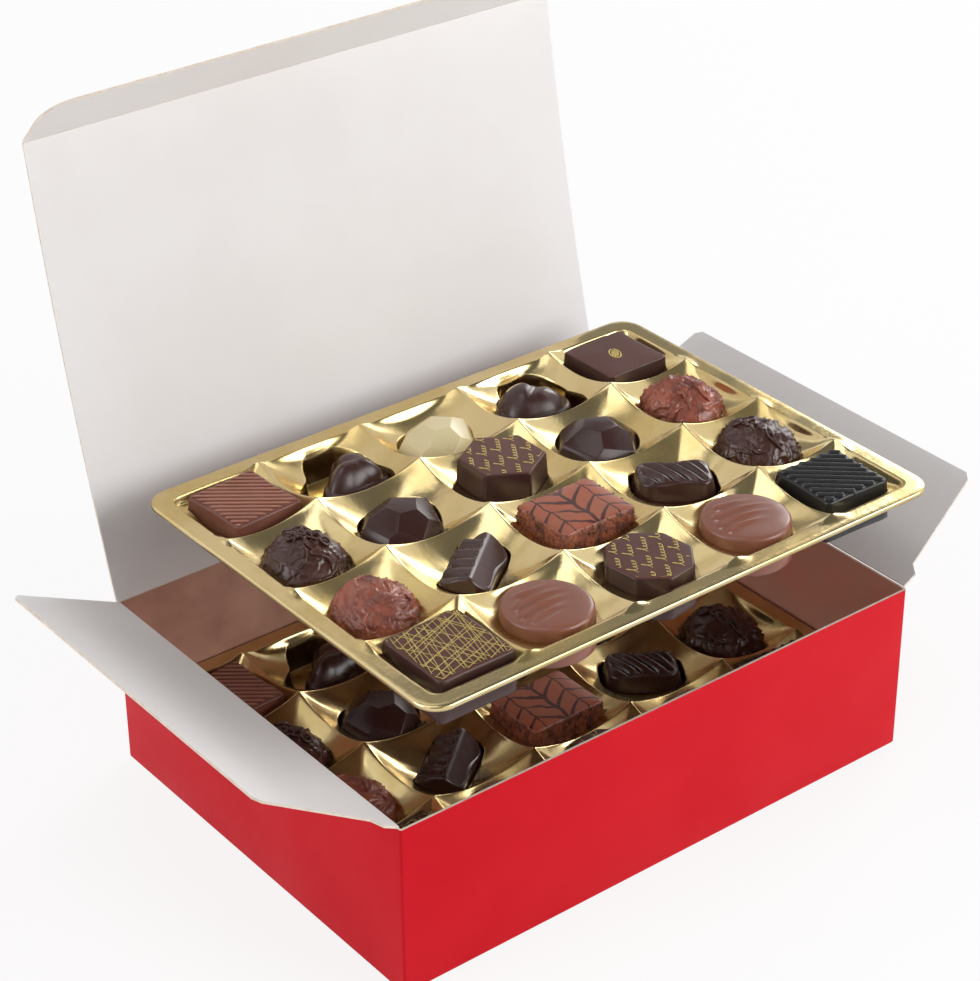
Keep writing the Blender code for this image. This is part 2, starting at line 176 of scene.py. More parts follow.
def skin_group():
    """Colour and gloss that drift over a surface, with a fine height for bump."""
    tree, given, out = new_group(
        "uneven_skin",
        [("Colour", "Color", (0.5, 0.5, 0.5, 1)), ("Second Colour", "Color", (0.4, 0.4, 0.4, 1)),
         ("Drift Scale", "Float", 60.0), ("Drift Strength", "Float", 0.6),
         ("Rough Low", "Float", 0.3), ("Rough High", "Float", 0.5),
         ("Grain Scale", "Float", 900.0)],
        [("Colour", "Color"), ("Roughness", "Float"), ("Height", "Float")])
    where = add(tree, "ShaderNodeTexCoord").outputs["Object"]
    drift = add(tree, "ShaderNodeTexNoise", {"Vector": where, "Scale": given["Drift Scale"],
                                             "Detail": 4.0, "Roughness": 0.6})
    grain = add(tree, "ShaderNodeTexNoise", {"Vector": where, "Scale": given["Grain Scale"],
                                             "Detail": 3.0})
    spread = add(tree, "ShaderNodeMapRange", {"Value": drift.outputs["Fac"], "From Min": 0.38,
                                              "From Max": 0.64}, interpolation_type="SMOOTHSTEP")
    share = calc(tree, "MULTIPLY", spread.outputs["Result"], given["Drift Strength"])
    gloss = add(tree, "ShaderNodeMapRange", {"Value": spread.outputs["Result"],
                                             "To Min": given["Rough Low"],
                                             "To Max": given["Rough High"]})
    tree.links.new(mixed(tree, share, given["Colour"], given["Second Colour"]), out["Colour"])
    tree.links.new(gloss.outputs["Result"], out["Roughness"])
    tree.links.new(grain.outputs["Fac"], out["Height"])
    return tree


SKIN = skin_group()


def skinned(name, colour, second, drift=60.0, strength=0.6, rough=(0.3, 0.5),
            grain=900.0, bump=0.1, depth=0.0001, metallic=0.0, coat=0.0, sub=0.0, sheen=0.5):
    """A material whose colour, gloss and fine relief come from the shared skin group."""
    mat = bpy.data.materials.new(name)
    mat.use_nodes = True
    mat.diffuse_color = linear(colour)
    tree = mat.node_tree
    skin = add(tree, "ShaderNodeGroup", node_tree=SKIN)
    for key, value in (("Colour", linear(colour)), ("Second Colour", linear(second)),
                       ("Drift Scale", drift), ("Drift Strength", strength),
                       ("Rough Low", rough[0]), ("Rough High", rough[1]),
                       ("Grain Scale", grain)):
        skin.inputs[key].default_value = value
    relief = add(tree, "ShaderNodeBump", {"Strength": bump, "Distance": depth,
                                          "Height": skin.outputs["Height"]})
    shader = tree.nodes["Principled BSDF"]
    tree.links.new(skin.outputs["Colour"], shader.inputs["Base Color"])
    tree.links.new(skin.outputs["Roughness"], shader.inputs["Roughness"])
    tree.links.new(relief.outputs["Normal"], shader.inputs["Normal"])
    shader.inputs["Metallic"].default_value = metallic
    shader.inputs["Coat Weight"].default_value = coat
    shader.inputs["Coat Roughness"].default_value = 0.12
    shader.inputs["Specular IOR Level"].default_value = sheen
    if sub:
        shader.inputs["Subsurface Weight"].default_value = sub
        shader.inputs["Subsurface Scale"].default_value = 0.002
    return mat


def laid_over(mat, share, colour):
    """Lays another colour over a material's own, by a share socket."""
    target = mat.node_tree.nodes["Principled BSDF"].inputs["Base Color"]
    under = target.links[0].from_socket
    mat.node_tree.links.new(mixed(mat.node_tree, share, under, linear(colour)), target)
    return mat


def flecked(mat, colour, scale, size, share):
    """Small flecks of another colour, in patches."""
    tree = mat.node_tree
    where = add(tree, "ShaderNodeTexCoord").outputs["Object"]
    cells = add(tree, "ShaderNodeTexVoronoi", {"Vector": where, "Scale": scale})
    patches = add(tree, "ShaderNodeTexNoise", {"Vector": where, "Scale": 140.0})
    near = calc(tree, "LESS_THAN", cells.outputs["Distance"], size)
    chosen = calc(tree, "LESS_THAN", patches.outputs["Fac"], share)
    return laid_over(mat, calc(tree, "MULTIPLY", near, chosen), colour)


def feathered(name):
    """Milk chocolate with dark feathering drawn both ways from a line down the middle."""
    mat = skinned(name, ORANGE_MILK, MILK_WARM, rough=(0.30, 0.45))
    tree = mat.node_tree
    plan = add(tree, "ShaderNodeUVMap", uv_map="plan").outputs["UV"]
    x, y, _ = add(tree, "ShaderNodeSeparateXYZ", {0: plan}).outputs
    wobble = add(tree, "ShaderNodeTexNoise", {"Vector": plan, "Scale": 5.0}).outputs["Fac"]
    shift = calc(tree, "MULTIPLY", calc(tree, "SUBTRACT", wobble, 0.5), 0.10)
    x = calc(tree, "ADD", calc(tree, "ADD", x, shift), 0.02)
    lobes = calc(tree, "PINGPONG", x, FEATHER_STEP)
    bend = calc(tree, "POWER", calc(tree, "DIVIDE", lobes, FEATHER_STEP), 0.7)
    along = calc(tree, "SUBTRACT", y, calc(tree, "MULTIPLY", bend, 0.26))
    veins = calc(tree, "PINGPONG", calc(tree, "ADD", along, shift), FEATHER_PITCH)
    thinning = calc(tree, "SUBTRACT", 0.034, calc(tree, "MULTIPLY", lobes, 0.075))
    near_vein = calc(tree, "LESS_THAN", veins, thinning)
    spine = calc(tree, "LESS_THAN", lobes, 0.026)
    seam = calc(tree, "LESS_THAN", calc(tree, "SUBTRACT", FEATHER_STEP, lobes), 0.010)
    dark = calc(tree, "MAXIMUM", calc(tree, "MAXIMUM", near_vein, spine), seam)
    return laid_over(mat, dark, FEATHER_DARK)


def build_materials():
    """Every material of the object, by a short name."""
    crumb = skinned("crumbly_side", (150, 84, 58), (84, 42, 34), drift=300, strength=0.95,
                    rough=(0.45, 0.6), grain=1400, bump=0.5, depth=0.0003)
    return {
        "red": skinned("red_board", RED, (196, 8, 28), drift=18, strength=0.5,
                       rough=(0.46, 0.54), grain=1500, bump=0.04, sheen=0.12),
        "white": skinned("white_board", WHITE_BOARD, (228, 223, 222), drift=14, strength=0.6,
                         rough=(0.55, 0.65), grain=2500, bump=0.05, sheen=0.3),
        # Painted light on the inside of the white board: a pink-red glow of light through the red
        # print, and pinkish brown for red bounce light and shade.
        "inside_painted_glow": skinned("carton_inside_painted_glow", PAINTED_GLOW_THROUGH_PRINT, PAINTED_RED_BOUNCE, drift=16,
                              strength=0.7, rough=(0.55, 0.65), grain=2500, bump=0.05,
                              sheen=0.3),
        "inside_painted_red_bounce": skinned("carton_inside_painted_red_bounce", PAINTED_RED_BOUNCE, (176, 128, 112), drift=14,
                                strength=0.8, rough=(0.55, 0.65), grain=2500, bump=0.05,
                                sheen=0.3),
        "cut": skinned("cut_edge", CUT_BOARD, (210, 190, 172), drift=300, rough=(0.7, 0.8),
                       grain=3000, bump=0.2),
        "foil": skinned("gold_foil", GOLD, GOLD_DEEP, drift=26.0, strength=0.5,
                        rough=(0.15, 0.28), grain=120.0, bump=0.22, depth=0.0006,
                        metallic=1.0),
        # Underside film: its own beige plus a painted reflection of the red carton inside and the
        # chocolates, as a pinkish brown tint.
        "film": skinned("foil_underside", FILM, (150, 126, 112), drift=120, strength=0.9,
                        rough=(0.10, 0.34), grain=200, bump=0.7, depth=0.0012, metallic=0.55),
        "dark": skinned("dark_chocolate", (72, 40, 32), (52, 28, 23), rough=(0.22, 0.38),
                        bump=0.06, coat=0.1, sheen=0.4),
        "dark_top": skinned("dark_top", (84, 44, 34), (72, 36, 30), rough=(0.34, 0.48),
                            bump=0.05, sheen=0.4),
        "dark_side": skinned("dark_side", (60, 34, 32), (48, 28, 27), rough=(0.30, 0.42),
                             bump=0.05, sheen=0.4),
        "gem": skinned("dark_faceted", (58, 32, 28), (48, 26, 23), rough=(0.20, 0.32),
                       bump=0.04, sheen=0.35),
        "gloss": skinned("dark_glossy", (62, 35, 30), (50, 28, 25), rough=(0.22, 0.34),
                         bump=0.03, coat=0.05, sheen=0.45),
        "milk": skinned("milk_chocolate", (156, 84, 62), (108, 52, 38), drift=150,
                        strength=0.9, rough=(0.30, 0.46), bump=0.10, coat=0.1, sub=0.05),
        "milk_base": skinned("milk_under_lines", (112, 66, 54), (100, 58, 48),
                             rough=(0.34, 0.46), bump=0.06, sheen=0.4),
        "milk_line": skinned("milk_lines", (164, 112, 92), (148, 98, 80), rough=(0.30, 0.42),
                             bump=0.05),
        "milk_shell": skinned("milk_shell", MILK, (126, 76, 60), drift=90, strength=0.7,
                              rough=(0.30, 0.42), bump=0.05, coat=0.1, sub=0.05),
        "feather": feathered("feathered_top"),
        "crumb": flecked(crumb, CRUMB_FLECK, 1500, 0.16, 0.46),
        "ivory": skinned("ivory_chocolate", IVORY, (212, 198, 156), drift=40, strength=0.6,
                         rough=(0.26, 0.38), bump=0.05, coat=0.2, sub=0.15),
        "black": skinned("black_chocolate", (30, 29, 31), (24, 24, 26), rough=(0.30, 0.42),
                         bump=0.05, sheen=0.4),
        "black_rib": skinned("black_ribs", (38, 37, 39), (30, 30, 32), rough=(0.22, 0.34),
                             bump=0.05),
        "paint": skinned("gold_paint", (212, 190, 112), (194, 168, 88), drift=200,
                         rough=(0.4, 0.5), grain=1500, bump=0.1, metallic=0.2),
    }


# ---------------------------------------------------------------- geometry nodes
def growth_tree(name, inputs):
    """A geometry tree with its sockets, and a function that ends it."""
    shape = ("Geometry", "Geometry")
    tree, given, out = new_group(name, [shape, *inputs, ("Material", "Material")], [shape],
                                 "GeometryNodeTree")

    def finish(made):
        real = add(tree, "GeometryNodeRealizeInstances", {"Geometry": made})
        painted = add(tree, "GeometryNodeSetMaterial", {"Geometry": real.outputs["Geometry"],
                                                        "Material": given["Material"]})
        tree.links.new(painted.outputs["Geometry"], out["Geometry"])
        return tree
    return tree, given, finish


def line_tree():
    """Sweeps a round bead along every drawn line; its ends taper."""
    tree, given, finish = growth_tree(
        "bead_along_lines",
        [("Bead Radius", "Float", 0.0005, 0.0, 0.1), ("Bead Sides", "Int", 8, 3, 32),
         ("End Taper", "Float", 8.0, 0.0, 100.0)])
    curve = add(tree, "GeometryNodeMeshToCurve", {"Mesh": given["Geometry"]})
    along = add(tree, "GeometryNodeSplineParameter").outputs["Factor"]
    nearer = calc(tree, "MINIMUM", along, calc(tree, "SUBTRACT", 1.0, along))
    share = calc(tree, "MINIMUM", calc(tree, "MULTIPLY", nearer, given["End Taper"]), 1.0)
    size = calc(tree, "MULTIPLY", share, given["Bead Radius"])
    radius = add(tree, "GeometryNodeSetCurveRadius", {"Curve": curve.outputs["Curve"],
                                                      "Radius": size})
    ring = add(tree, "GeometryNodeCurvePrimitiveCircle",
               {"Radius": 1.0, "Resolution": given["Bead Sides"]}, mode="RADIUS")
    sweep = add(tree, "GeometryNodeCurveToMesh", {"Curve": radius.outputs["Curve"],
                                                  "Profile Curve": ring.outputs["Curve"],
                                                  "Fill Caps": True})
    if "Scale" in sweep.inputs:
        tree.links.new(size, sweep.inputs["Scale"])
    return finish(sweep.outputs["Mesh"])


def crumb_tree():
    """Scatters small rough crumbs over the faces it is given."""
    tree, given, finish = growth_tree(
        "scattered_crumbs",
        [("Crumbs per Area", "Float", 100000.0, 0.0, 1e9), ("Crumb Size", "Float", 0.0005, 0, 0.1),
         ("Seed", "Int", 1, 0, 1000)])
    spread = add(tree, "GeometryNodeDistributePointsOnFaces",
                 {"Mesh": given["Geometry"], "Density": given["Crumbs per Area"],
                  "Seed": given["Seed"]}, distribute_method="RANDOM")
    crumb = add(tree, "GeometryNodeMeshIcoSphere", {"Radius": 1.0, "Subdivisions": 1})
    turn = add(tree, "FunctionNodeRandomValue", data_type="FLOAT_VECTOR")
    turn.inputs["Max"].default_value = (TAU, TAU, TAU)
    grow = add(tree, "FunctionNodeRandomValue", data_type="FLOAT_VECTOR")
    grow.inputs["Min"].default_value = (0.3, 0.3, 0.3)
    grow.inputs["Max"].default_value = (1.2, 1.0, 0.8)
    for chance in (turn, grow):
        tree.links.new(given["Seed"], chance.inputs["Seed"])
    size = add(tree, "ShaderNodeVectorMath", operation="SCALE")
    tree.links.new(grow.outputs["Value"], size.inputs["Vector"])
    tree.links.new(given["Crumb Size"], size.inputs["Scale"])
    place = add(tree, "GeometryNodeInstanceOnPoints",
                {"Points": spread.outputs["Points"], "Instance": crumb.outputs["Mesh"],
                 "Rotation": turn.outputs["Value"], "Scale": size.outputs["Vector"]})
    return finish(place.outputs["Instances"])


BEADS = line_tree()
CRUMBS = crumb_tree()


def grown(mesh, tree, values):
    """The plain mesh that a tree makes of a mesh, with its named inputs set."""
    ob = bpy.data.objects.new("seedling", mesh)
    bpy.context.scene.collection.objects.link(ob)
    modifier = ob.modifiers.new("growth", "NODES")
    modifier.node_group = tree
    for item in tree.interface.items_tree:
        if item.item_type == "SOCKET" and item.in_out == "INPUT" and item.name in values:
            modifier[item.identifier] = values[item.name]
    ob.update_tag()
    return applied(ob)


def beads(lines, radius, material, sides=8, taper=8.0):
    """A mesh of round beads swept along lists of points."""
    mesh = bpy.data.meshes.new("lines")
    points, edges = [], []
    for line in lines:
        start = len(points)
        points += [tuple(p) for p in line]
        edges += [(start + k, start + k + 1) for k in range(len(line) - 1)]
    mesh.from_pydata(points, edges, [])
    made = grown(mesh, BEADS, {"Bead Radius": radius, "Bead Sides": sides,
                               "End Taper": taper, "Material": material})
    made.shade_smooth()
    return made


# ---------------------------------------------------------------- meshes
def mesh_of(points, faces, materials, slots=None):
    """A smooth mesh with its materials; slots gives each face's material."""
    mesh = bpy.data.meshes.new("praline")
    mesh.from_pydata([tuple(p) for p in points], [], faces)
    for material in materials:
        mesh.materials.append(material)
    if slots is not None:
        mesh.polygons.foreach_set("material_index", slots)
    mesh.shade_smooth()
    mesh.update()
    return mesh


def joined(meshes):
    """One mesh from several, keeping each one's materials."""
    bm = bmesh.new()
    materials = []
    for mesh in meshes:
        before = len(bm.faces)
        bm.from_mesh(mesh)
        bm.faces.ensure_lookup_table()
        own = list(mesh.materials)
        for face in bm.faces[before:]:
            material = own[face.material_index] if own else None
            if material not in materials:
                materials.append(material)
            face.material_index = materials.index(material)
    out = bpy.data.meshes.new("praline")
    bm.to_mesh(out)
    bm.free()
    for material in materials:
        out.materials.append(material)
    return out


def finished(name, mesh, body, node):
    """Puts a piece into the scene, riding on its body in place of its plain solid."""
    ob = bpy.data.objects.new(name, mesh)
    mesh.name = name
    bpy.context.scene.collection.objects.link(ob)
    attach(ob, body)
    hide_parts(node)


def applied(ob):
    """The mesh an object's modifiers make; the object goes."""
    bpy.context.view_layer.update()
    graph = bpy.context.evaluated_depsgraph_get()
    made = bpy.data.meshes.new_from_object(ob.evaluated_get(graph))
    bpy.data.objects.remove(ob)
    return made


def thickened(bm, materials, thickness, rim=0):
    """A sheet given its thickness behind its faces; the far side takes the second material."""
    mesh = bpy.data.meshes.new("sheet")
    bm.to_mesh(mesh)
    bm.free()
    for material in materials:
        mesh.materials.append(material)
    ob = bpy.data.objects.new("sheet", mesh)
    bpy.context.scene.collection.objects.link(ob)
    solid = ob.modifiers.new("thickness", "SOLIDIFY")
    solid.thickness = thickness
    solid.offset = -1.0
    solid.use_even_offset = rim > 0
    solid.material_offset = 1
    solid.material_offset_rim = rim
    return applied(ob)


# ---------------------------------------------------------------- outlines: radius for a heading
def flats(sides, soft=26):
    """A polygon with soft corners, from (heading in degrees, distance) of its sides."""
    heads = np.radians([h for h, _ in sides])
    reach = np.array([d for _, d in sides])

    def radius(a):
        a = np.asarray(a, float)[..., None]
        share = np.maximum(np.cos(a - heads), 0) / reach
        return (share ** soft).sum(-1) ** (-1 / soft)
    return radius


def block(length, width, corner=0.0, soft=26):
    """A rectangle, with its corners cut back by flats if corner is given."""
    sides = [(0, length / 2), (90, width / 2), (180, length / 2), (270, width / 2)]
    if corner:
        reach = (length / 2 + width / 2 - corner) / math.sqrt(2)
        sides += [(45 + 90 * k, reach) for k in range(4)]
    return flats(sides, soft)


def oval(length, width, tip=0.0):
    """An ellipse, narrower towards heading 0 by tip."""
    def radius(a):
        x, y = np.cos(a) / (length / 2), np.sin(a) / (width / 2 * (1 - tip * np.cos(a)))
        return 1 / np.sqrt(x * x + y * y)
    return radius


def through(points):
    """A smooth closed outline through (heading in degrees, radius) points."""
    heads = np.radians([h for h, _ in points])
    radii = np.array([r for _, r in points]) * MM
    heads = np.concatenate((heads[-2:] - TAU, heads, heads[:3] + TAU))
    radii = np.concatenate((radii[-2:], radii, radii[:3]))

    def radius(a):
        a = (np.asarray(a, float) - heads[2]) % TAU + heads[2]
        k = np.clip(np.searchsorted(heads, a, side="right") - 1, 1, len(heads) - 3)
        span = heads[k + 1] - heads[k]
        t = (a - heads[k]) / span
        m0 = (radii[k + 1] - radii[k - 1]) / (heads[k + 1] - heads[k - 1]) * span
        m1 = (radii[k + 2] - radii[k]) / (heads[k + 2] - heads[k]) * span
        return ((2 * t ** 3 - 3 * t ** 2 + 1) * radii[k] + (t ** 3 - 2 * t ** 2 + t) * m0
                + (3 * t ** 2 - 2 * t ** 3) * radii[k + 1] + (t ** 3 - t ** 2) * m1)
    return radius


# ---------------------------------------------------------------- moulded bodies
def disc_grid(count):
    """A square grid wrapped onto the unit disc: headings, distances, faces, border."""
    t = np.linspace(-1, 1, count + 1)
    u, v = np.meshgrid(t, t)
    a, b = u * np.sqrt(1 - v * v / 2), v * np.sqrt(1 - u * u / 2)
    size = count + 1
    faces = [(j * size + i, j * size + i + 1, (j + 1) * size + i + 1, (j + 1) * size + i)
             for j in range(count) for i in range(count)]
    border = [i for i in range(count)]
    border += [j * size + count for j in range(count)]
    border += [count * size + i for i in range(count, 0, -1)]
    border += [j * size for j in range(count, 0, -1)]
    return np.arctan2(b, a).ravel(), np.hypot(a, b).ravel(), faces, border


def flat_top(x, y, rho):
    return np.zeros_like(x)


def moulded(outline, height, materials, relief=flat_top, draft=0.0012, edge=0.0010, grid=40,
            side_relief=None, side_rings=5, edge_rings=4):
    """A body under a shaped top: a rounded edge, drafted sides and a flat base.

    relief(x, y, rho) is added to the top, rho running from 0 to 1 at its edge.
    """
    heading, rho, faces, border = disc_grid(grid)
    around = heading[border]
    inset = draft + edge
    reach = outline(heading) - inset
    x, y = rho * reach * np.cos(heading), rho * reach * np.sin(heading)
    lift = relief(x, y, rho)
    points = [np.stack([x, y, height + lift], 1)]
    rings = []
    for k in range(1, edge_rings + 1):
        a = math.pi / 2 * k / edge_rings
        rings.append((inset - edge * math.sin(a), -edge * (1 - math.cos(a)), 1.0))
    for k in range(1, side_rings + 1):
        t = k / side_rings
        rings.append((draft * (1 - t), -edge - (height - edge - 0.0006) * t, 1 - t))
    rings.append((0.0006, -height, 0.0))
    edge_lift = lift[border]
    rim = outline(around)
    for back, drop, share in rings:
        r = rim - back
        if side_relief is not None:
            r = r + side_relief(around, drop) * (1 if share < 1 else 0.3)
        points.append(np.stack([r * np.cos(around), r * np.sin(around),
                                height + drop + edge_lift * share], 1))
    count = len(border)
    start = len(heading)
    loops = [border] + [[start + n * count + k for k in range(count)]
                        for n in range(len(rings))]
    slots = [0] * len(faces)
    for n, (low, high) in enumerate(zip(loops[1:], loops)):
        for k in range(count):
            j = (k + 1) % count
            faces.append((high[k], low[k], low[j], high[j]))
            slots.append(min(1, len(materials) - 1) if n >= 2 else 0)
    faces.append(tuple(loops[-1][::-1]))
    slots.append(len(materials) - 1)
    points = np.concatenate(points)
    mesh = mesh_of(points, faces, materials, slots)
    plan = mesh.uv_layers.new(name="plan")
    index = np.zeros(len(mesh.loops), int)
    mesh.loops.foreach_get("vertex_index", index)
    plan.data.foreach_set("uv", (points[index, :2] / PLAN).ravel())
    return mesh


def top_reach(outline, draft=0.0012, edge=0.0010):
    """The outline of the flat top that moulded() makes."""
    return lambda a: outline(a) - draft - edge


def clipped(line, outline, margin):
    """The stretch of a line of (x, y) points that lies inside an outline, less a margin."""
    kept = [p for p in line
            if math.hypot(*p) < float(outline(math.atan2(p[1], p[0]))) - margin]
    return kept if len(kept) > 2 else []


def ruled(outline, angle, pitch, margin, height, step=0.0006):
    """Parallel lines across an outline, as lists of points at a height."""
    along = Vector((math.cos(angle), math.sin(angle)))
    across = Vector((-along.y, along.x))
    reach = 0.022
    lines = []
    for k in range(int(-reach / pitch), int(reach / pitch) + 1):
        line = []
        for n in range(int(2 * reach / step)):
            s = -reach + n * step
            p = along * s + across * ((k + 0.5) * pitch)
            line.append((p.x, p.y))
        inside = clipped(line, outline, margin)
        if inside:
            lines.append([(x, y, height) for x, y in inside])
    return lines


def cut_gem(length, width, height, rows, tip, material, turn=0.0):
    """A cut gem: a block sliced by planes that touch an egg, with fine soft edges."""
    bm = bmesh.new()
    bmesh.ops.create_cube(bm, size=0.06)
    sink = height * 0.12
    half = Vector((length / 2, width / 2, height - sink))
    directions = [(0.0, 0.06)]
    for count, polar, start in rows:
        directions += [(start + TAU * k / count, polar) for k in range(count)]
    for heading, polar in directions:
        u = Vector((math.sin(polar) * math.cos(heading), math.sin(polar) * math.sin(heading),
                    math.cos(polar)))
        narrow = 1 - tip * math.cos(heading) * math.sin(polar)
        at = Vector((u.x * half.x, u.y * half.y * narrow, u.z * half.z + sink))
        away = Vector((u.x / half.x, u.y / (half.y * narrow), u.z / half.z)).normalized()
        sliced(bm, at, away)
    sliced(bm, Vector((0, 0, 0)), Vector((0, 0, -1)))
    bmesh.ops.remove_doubles(bm, verts=bm.verts, dist=0.00015)
    bmesh.ops.rotate(bm, verts=bm.verts, matrix=Matrix.Rotation(turn, 3, "Z"))
    bmesh.ops.recalc_face_normals(bm, faces=bm.faces)
    mesh = bpy.data.meshes.new("gem")
    bm.to_mesh(mesh)
    bm.free()
    mesh.materials.append(material)
    ob = bpy.data.objects.new("gem", mesh)
    bpy.context.scene.collection.objects.link(ob)
    soft = ob.modifiers.new("soft_edges", "BEVEL")
    soft.width = 0.00028
    soft.segments = 2
    soft.limit_method = "ANGLE"
    soft.angle_limit = math.radians(8)
    soft.harden_normals = False
    made = applied(ob)
    made.shade_smooth()
    made.set_sharp_from_angle(angle=math.radians(16))
    return made


def sliced(bm, at, away):
    """Cuts off what lies beyond a plane and closes the cut."""
    everything = bm.verts[:] + bm.edges[:] + bm.faces[:]
    cut = bmesh.ops.bisect_plane(bm, geom=everything, plane_co=at, plane_no=away,
                                 clear_outer=True)
    edges = [e for e in cut["geom_cut"] if isinstance(e, bmesh.types.BMEdge)]
    if edges:
        bmesh.ops.contextual_create(bm, geom=edges)


# ---------------------------------------------------------------- truffles
TRUFFLE_FOOT = 0.62         # where the ball is cut flat, below its middle
TRUFFLE_POLAR = 2.15        # how far round the ball the skin reaches


def outward(heading, polar):
    """The direction at a heading and an angle from straight up."""
    return Vector((math.sin(polar) * math.cos(heading), math.sin(polar) * math.sin(heading),
                   math.cos(polar)))


def truffle(length, width, height, skin, material, strands, radius):
    """A hand-rolled ball on a flat foot; skin(direction) swells it, and strands lie on it."""
    def point(heading, polar, lift=0.0):
        away = outward(heading, polar)
        swell = 1 + skin(away) + lift
        z = max(math.cos(polar) * swell, -TRUFFLE_FOOT)
        return Vector((math.sin(polar) * math.cos(heading) * swell * length / 2,
                       math.sin(polar) * math.sin(heading) * swell * width / 2,
                       (z + TRUFFLE_FOOT) / (1 + TRUFFLE_FOOT) * height))

    heading, rho, faces, border = disc_grid(104)
    points = [point(a, r * TRUFFLE_POLAR) for a, r in zip(heading, rho)]
    faces.append(tuple(border[::-1]))
    body = mesh_of(points, faces, [material])
    lines = [[point(*spot) for spot in strand] for strand in strands]
    return joined([body, beads(lines, radius, material, 7, 6.0)])


def wandering(seed, count, top, reach, wobble, lift, steps=16, loops=0.0):
    """Strands that wander over a ball from near its top."""
    rng = random.Random(seed)
    strands = []
    for _ in range(count):
        a, polar = rng.uniform(0, TAU), rng.uniform(*top)
        away = rng.uniform(0, TAU)
        curl = rng.uniform(-loops, loops)
        strand = []
        for k in range(steps):
            raised = lift * math.sin(math.pi * k / (steps - 1)) * rng.uniform(0.7, 1.3)
            strand.append((a, polar, raised))
            away += rng.uniform(-wobble, wobble) + curl
            step = reach / steps
            polar = min(max(polar + step * math.cos(away), 0.05), 1.75)
            a += step * math.sin(away) / max(math.sin(polar), 0.25)
        strands.append(strand)
    return strands


def crest(value, sharp):
    """1 on the zero line of a noise, falling off on both sides."""
    return math.exp(-(value / sharp) ** 2)


def spiky_skin(away):
    shift = Vector((3.1, 1.7, 2.3))
    bent = away + 0.25 * Vector((noise.noise(away * 2.5 + shift),
                                 noise.noise(away * 2.5 - shift), 0))
    lump = 0.06 * noise.noise(away * 1.7 + shift)
    web = 0.060 * crest(noise.noise(bent * 2.1 + shift), 0.040)
    web += 0.035 * crest(noise.noise(bent * 3.4 - shift), 0.035) * max(0.0, away.z + 0.3)
    return lump + web + 0.006 * noise.noise(away * 14)


def swirl_skin(away):
    shift = Vector((6.2, 3.4, 4.6))
    turn = math.atan2(away.y, away.x) * 1.1 + away.z * 3
    flow = Vector((math.cos(turn), math.sin(turn), away.z * 1.2))
    smear = noise.noise(flow * 1.4 + away * 1.1 + shift)
    fold = crest(noise.noise(flow * 1.7 + away * 1.6 + shift), 0.07)
    fine = crest(noise.noise(flow * 3.6 + away * 2.6 - shift), 0.07)
    return 0.060 * smear + 0.062 * fold + 0.028 * fine + 0.008 * noise.noise(away * 13 + shift)


def folded_skin(away):
    shift = Vector((9.3, 5.1, 6.9))
    bend = away + 0.45 * Vector((noise.noise(away * 2 + shift), noise.noise(away * 2 - shift),
                                 noise.noise(away * 2)))
    fold = crest(noise.noise(bend * 1.9 + shift), 0.075)
    small = crest(noise.noise(bend * 3.6 - shift), 0.07)
    hollow = -0.05 * crest(noise.noise(bend * 1.9 + shift) - 0.2, 0.08)
    return 0.095 * fold + 0.045 * small + hollow + 0.05 * noise.noise(away * 2 - shift)


def shaggy_skin(away):
    shift = Vector((12.4, 6.8, 9.2))
    bend = away + 0.35 * Vector((noise.noise(away * 3 + shift), noise.noise(away * 3 - shift),
                                 noise.noise(away * 3)))
    flake = noise.noise(bend * 2.6 + shift)
    torn = max(0.0, flake - 0.05) ** 0.5 * 0.11
    return (torn + 0.050 * crest(noise.noise(bend * 4.0 - shift), 0.05)
            + 0.045 * noise.noise(away * 2.0) + 0.012 * noise.noise(away * 17))


# ---------------------------------------------------------------- reliefs of the moulded tops
def smoothstep(value, low, high):
    t = np.clip((value - low) / (high - low), 0, 1)
    return t * t * (3 - 2 * t)


HEART_NOTCH = math.radians(135)     # heading of the heart's notch
BEAN_DENT = math.radians(55)        # heading of the bean's dent


def pillow(fall, power=2.6):
    """A rounded top that falls towards its edge."""
    return lambda x, y, rho: -fall * rho ** power


def heart_relief(x, y, rho):
    """A plump heart: a soft valley runs in from the notch between its two lobes."""
    out = x * math.cos(HEART_NOTCH) + y * math.sin(HEART_NOTCH)
    across = y * math.cos(HEART_NOTCH) - x * math.sin(HEART_NOTCH)
    dome = -0.0068 * rho ** 2.8
    valley = -0.0026 * np.exp(-(across / 0.0030) ** 2) * smoothstep(out, -0.004, 0.009)
    lip = 0.0007 * np.tanh((across - 0.0004) / 0.0010) * smoothstep(out, -0.004, 0.003)
    return dome + valley + lip * (1 - rho ** 4)


def bean_relief(x, y, rho):
    """A kidney: the lobe on one side of the dent stands over the lobe on the other."""
    out = x * math.cos(BEAN_DENT) + y * math.sin(BEAN_DENT)
    across = y * math.cos(BEAN_DENT) - x * math.sin(BEAN_DENT)
    across = across + 0.0016 * np.sin(out * 260)
    dome = -0.0070 * rho ** 2.8
    valley = -0.0012 * np.exp(-(across / 0.0028) ** 2) * smoothstep(out, -0.009, 0.008)
    lip = 0.0007 * np.tanh(across / 0.0009) * smoothstep(out, -0.009, -0.001)
    return dome + valley + lip * (1 - rho ** 4)


def finger_relief(x, y, rho):
    """Soft streaks, as if fingers were drawn across from the left edge."""
    total = -0.0003 * rho ** 6
    for at, start, end in ((0.0086, -0.0070, 0.0080), (0.0046, -0.0110, 0.0110),
                           (0.0006, -0.0125, 0.0095), (-0.0032, -0.0115, 0.0060)):
        bow = at - 10.0 * (x + 0.002) ** 2
        window = smoothstep(x, start, start + 0.0025) * (1 - smoothstep(x, end - 0.013, end))
        total += 0.00070 * np.exp(-((y - bow) / 0.00080) ** 2) * window
        total -= 0.00035 * np.exp(-((y - bow + 0.0019) / 0.0010) ** 2) * window
    return total


